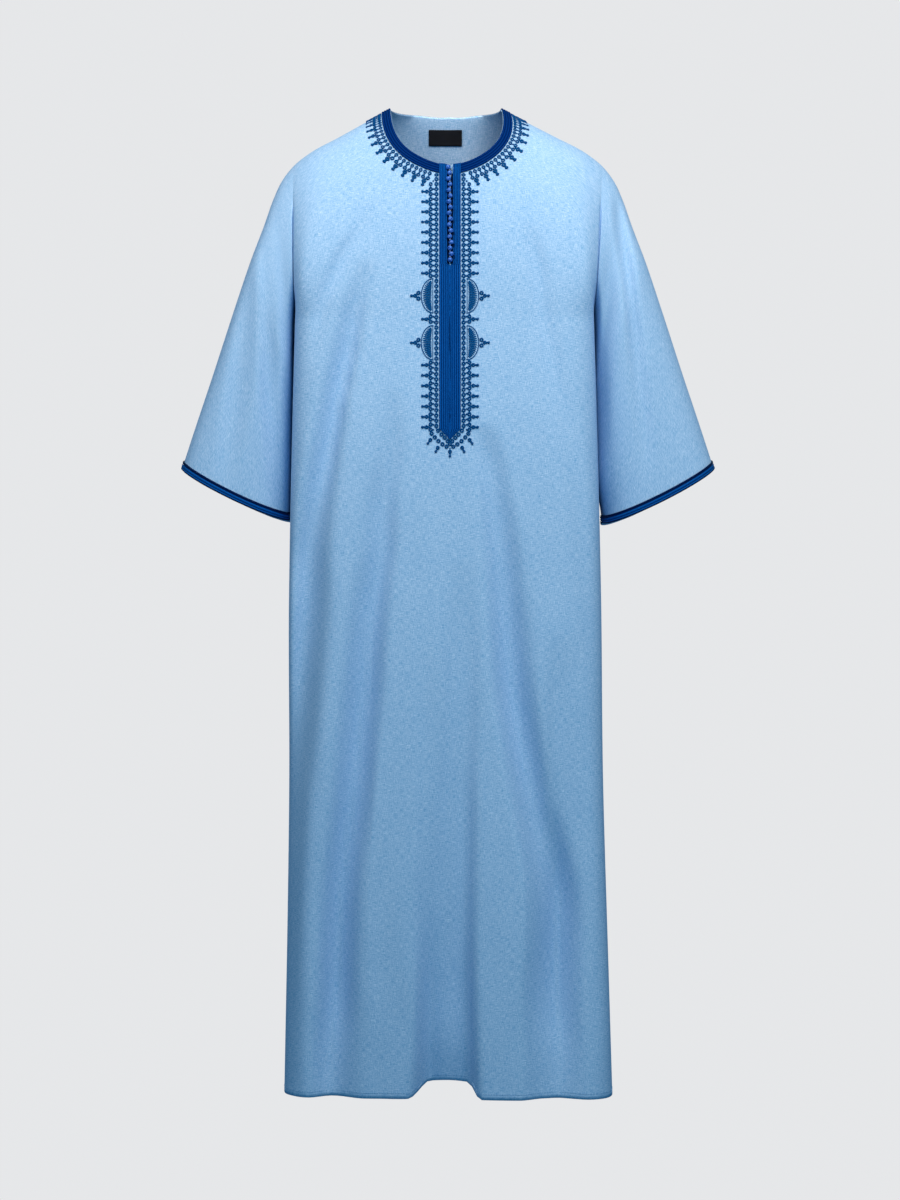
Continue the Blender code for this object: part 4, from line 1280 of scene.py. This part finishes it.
loops = bmesh.new()
for number in range(BUTTON_COUNT):
    share = number / (BUTTON_COUNT - 1)
    stagger = BUTTON_STAGGER * (1 if number % 2 else -1)
    x = CENTRE_LINE + BUTTON_ASIDE + BUTTON_DRIFT * share + stagger
    a, fall = seen_at(-1, x, BUTTON_TOP_Z - BUTTON_PITCH * number)
    normal = Vector(normal_at(-1, a, fall))
    foot = Vector(body_point(-1, a, fall))
    upright = normal.to_track_quat("Z", "Y").to_matrix()
    bm = bmesh.new()
    bmesh.ops.create_uvsphere(bm, u_segments=10, v_segments=6, radius=BUTTON_RADIUS - KNOT_CORD)
    wound_uv(bm)
    for tilt, turn in KNOT_TURNS:
        about = Matrix.Rotation(radians(turn + KNOT_VARY * number), 3, "Z")
        add_turned(bm, KNOT_RING[0], about @ Matrix.Rotation(radians(tilt), 3, "X"))
    bmesh.ops.rotate(bm, verts=bm.verts, matrix=upright)
    bmesh.ops.translate(bm, verts=bm.verts, vec=foot + normal * (BUTTON_RADIUS + LAY_GAP))
    name = f"button_{number + 1:02d}"
    piece_of(name + "_knot", bm, button_cord, "cord_button", name)
    loop = add_turned(loops, LOOP_RING[0], upright)
    lift = LOOP_CORD + LOOP_LIFTS[number % 2]
    lifted = foot + normal * lift + Vector((LOOP_ASIDE, 0, -BUTTON_PITCH / 2))
    bmesh.ops.translate(loops, verts=loop, vec=lifted)
piece_of("button_loops", loops, loop_cord_and_shadow, "cord_button")

# Slit facing: a thin dark blue tape under each edge of the slit, from which the loops spring. Its
# near-black colour is painted shadow that fills the channel between the braids. At the top of the right
# edge it is turned back, so that a corner of the pale cloth shows.

FACING_OUT = 0.0052
FACING_LOW_Z = -0.2385
FACING_TOP_Z = -0.1030
FACING_NOTCH = 0.011
FACING_TURNED = FACING_OUT * 0.85
FACING_LIFT = 0.0003
FACING_THICK = 0.0004

for side, word in SIDES:
    heights = np.insert(np.linspace(BAND_TOP_Z, FACING_LOW_Z, 60), 0, BAND_TOP_Z)
    low = smooth((FACING_TOP_Z - heights) / FACING_NOTCH) if side > 0 else np.ones(heights.shape)
    inner = FACING_TURNED + (SLIT_HALF * 0.7 - FACING_TURNED) * low[:, None]
    outs = inner + (FACING_OUT - inner) * np.linspace(0, 1, 5)
    over = laid_on(-1, beside_slit(side, outs, heights), LAY_GAP + FACING_LIFT)
    # The tape, in the near-black loop cord, lies over the cloth beside the slit as painted shadow.
    ribbed_strip(f"slit_shadow_tape_{word}", over, FACING_OUT, loop_cord_and_shadow, "cord_button", thick=FACING_THICK)

# Hem stitching: one line of pale blue thread round the foot that holds the turned hem, in short dashes.

HEM_STITCH_UP = 0.0078
STITCH_LONG = 0.0026
STITCH_STEP = 0.0038
STITCH_RADIUS = 0.00022
# SEWING_DARK is the painted shade between the twisted strands, SEWING_BRIGHT the painted highlight on them
SEWING_DARK = (0.0500, 0.1600, 0.360, 1)
SEWING_BRIGHT = (0.1400, 0.3300, 0.560, 1)

sewing_thread = silk_material("sewing thread", SEWING_DARK, SEWING_BRIGHT, 0.0006, 0.5, 0.6)
dash = bmesh.new()
bmesh.ops.create_cone(dash, cap_ends=True, segments=5, radius1=STITCH_RADIUS, radius2=STITCH_RADIUS,
                      depth=STITCH_LONG)
dash_mesh, dash_corners = template(dash, "stitch dash")
for face, name in ((-1, "front_hem_stitches"), (1, "back_hem_stitches")):
    a_line = np.linspace(-0.995, 0.995, 1200)
    fall = np.full(len(a_line), 2 - HEM_STITCH_UP / (UNDERARM_Z - HEM_Z))
    line = body_point(face, a_line, fall) + normal_at(face, a_line, fall) * STITCH_RADIUS
    run = run_along(line)
    starts = np.arange(0, run[-1] - STITCH_LONG, STITCH_STEP)
    bm = bmesh.new()
    for start in starts:
        bm.from_mesh(dash_mesh)
    ends = [np.stack([np.interp(at, run, line[:, axis]) for axis in range(3)], axis=-1)
            for at in (starts, starts + STITCH_LONG)]
    middles = (ends[0] + ends[1]) / 2
    turns = [Vector(along).to_track_quat("Z", "Y").to_matrix() for along in ends[1] - ends[0]]
    corners = np.concatenate([dash_corners @ np.array(turn).T + middle
                              for turn, middle in zip(turns, middles)])
    move_to(bm, corners)
    piece_of(name, bm, sewing_thread, "chambray")

# Neck label: a plain black woven satin tab, sewn inside the back neck; its folded ends are not modelled,
# it is laid as one flat strip.

LABEL_X = -0.0038
LABEL_WIDE = 0.049
LABEL_TOP_Z = -0.0182
LABEL_LOW_Z = -0.0404
LABEL_LIFT = 0.0012
LABEL_THICK = 0.0005
BEHIND_NECK = (0, 1, 0)
# LABEL_DARK is the painted shade between the satin strands, LABEL_BRIGHT the painted highlight on them
LABEL_DARK = (0.0020, 0.0020, 0.0030, 1)
LABEL_BRIGHT = (0.0080, 0.0080, 0.0110, 1)
LABEL_SHINE = (0.7, 0.8, 1.0, 1)

label_satin = silk_material("label satin", LABEL_DARK, LABEL_BRIGHT, 0.0007, 0.0, 0.55,
                            shine=LABEL_SHINE, gloss=0.2)
xs = LABEL_X + LABEL_WIDE * np.linspace(-0.5, 0.5, 30)
zs = np.linspace(LABEL_TOP_Z, LABEL_LOW_Z, 14)[:, None]
over = laid_on(1, seen_at(1, xs, zs), -(CLOTH_THICK + LABEL_LIFT))
ribbed_strip("neck_label", over, LABEL_WIDE, label_satin, "label_black", "label",
             behind=BEHIND_NECK, thick=LABEL_THICK)

# Studio: a pale floor that fades into an even pale surround. A large soft light stands above the front,
# weaker ones stand to the left, low in front and behind, and a small one shines into the neck. The
# camera stands level with the middle of the garment.

PALE = (0.790, 0.800, 0.815, 1)
FLOOR_GREY = (0.35, 0.36, 0.37, 1)
FLOOR_Z = -1.95
FLOOR_RADIUS = 2.2
FLOOR_FADE = 1.2
FLOOR_GLOW = 0.5
SURROUND_LOW = (0.06, 0.36, 0.62, 1)
SURROUND_HIGH = (0.26, 0.66, 0.80, 1)
SURROUND_POWER = 0.36
SURROUND_HEIGHTS = (-0.3, 0.9)
WARM = (1.0, 0.85, 0.72)
COOL = (0.45, 0.86, 0.93)
LIGHTS = [
    # name, place, aim, size, power, colour
    ("key", (0.62, -1.38, 1.20), (0, 0, -0.45), 0.9, 52, WARM),
    ("high left", (-1.00, -1.00, 0.75), (-0.2, 0, -0.3), 0.6, 15, WARM),
    ("low front", (0.35, -2.20, -0.65), (0, 0, -0.6), 0.9, 8.2, COOL),
    ("behind", (-0.50, 2.40, -0.45), (0, 0, -0.7), 1.0, 45, WARM),
    ("neck", (0, 0.065, 0.03), (0, 0.12, -0.01), 0.10, 0.050, WARM),
]
VIEW_AWAY = 4.1
VIEW_TALL = 1.74
VIEW_Z = -0.7105
SENSOR = 36.0

world = bpy.data.worlds.new("pale surround")
world.use_nodes = True
tree = world.node_tree
shown = tree.nodes["Background"]
shown.inputs["Color"].default_value = PALE
height = add_node(tree, "SeparateXYZ", [add_node(tree, "TexCoord").outputs["Generated"]]).outputs[2]
around = mix_colours(tree, spread(tree, height, *SURROUND_HEIGHTS), SURROUND_LOW, SURROUND_HIGH)
lit = add_node(tree, "Background", [around, SURROUND_POWER]).outputs[0]
direct = add_node(tree, "LightPath").outputs["Is Camera Ray"]
surround = add_node(tree, "MixShader", [direct, lit, shown.outputs[0]]).outputs[0]
tree.links.new(surround, tree.nodes["World Output"].inputs["Surface"])
bpy.context.scene.world = world
bpy.context.scene.view_settings.view_transform = "Standard"

bm = bmesh.new()
bmesh.ops.create_circle(bm, cap_ends=True, segments=96, radius=FLOOR_RADIUS)
bmesh.ops.translate(bm, verts=bm.verts, vec=(0, 0, FLOOR_Z))
floor = put_in_scene("floor", mesh_of("floor", bm))
material, tree, shader = new_material("pale floor")
shader.inputs["Base Color"].default_value = FLOOR_GREY
shader.inputs["Roughness"].default_value = 0.9
glow = add_node(tree, "Emission", [PALE, FLOOR_GLOW]).outputs[0]
direct = add_node(tree, "LightPath").outputs["Is Camera Ray"]
dark = add_node(tree, "Emission", [PALE, 0.0]).outputs[0]
glow = add_node(tree, "MixShader", [direct, dark, glow]).outputs[0]
pale = add_node(tree, "AddShader", [shader.outputs[0], glow]).outputs[0]
spot = add_node(tree, "TexCoord").outputs["Object"]
away = add_node(tree, "VectorMath", [spot], operation="LENGTH").outputs["Value"]
clear = add_node(tree, "BsdfTransparent").outputs[0]
fade = spread(tree, away, FLOOR_FADE, FLOOR_RADIUS)
shown = add_node(tree, "MixShader", [fade, pale, clear]).outputs[0]
tree.links.new(shown, tree.nodes["Material Output"].inputs["Surface"])
floor.data.materials.append(material)


def soft_light(name, place, aim, size, power, colour):
    light = bpy.data.lights.new(name, "AREA")
    light.shape = "SQUARE"
    light.size = size
    light.energy = power
    light.color = colour
    lamp = put_in_scene(name, light)
    lamp.location = place
    lamp.rotation_euler = (Vector(aim) - Vector(place)).to_track_quat("-Z", "Y").to_euler()
    lamp.visible_camera = False


for light in LIGHTS:
    soft_light(*light)

lens = bpy.data.cameras.new("camera")
lens.sensor_width = SENSOR
lens.lens = SENSOR * VIEW_AWAY / VIEW_TALL
camera = put_in_scene("camera", lens)
camera.location = (CENTRE_LINE, -VIEW_AWAY, VIEW_Z)
camera.rotation_euler = (pi / 2, 0, 0)
bpy.context.scene.camera = camera
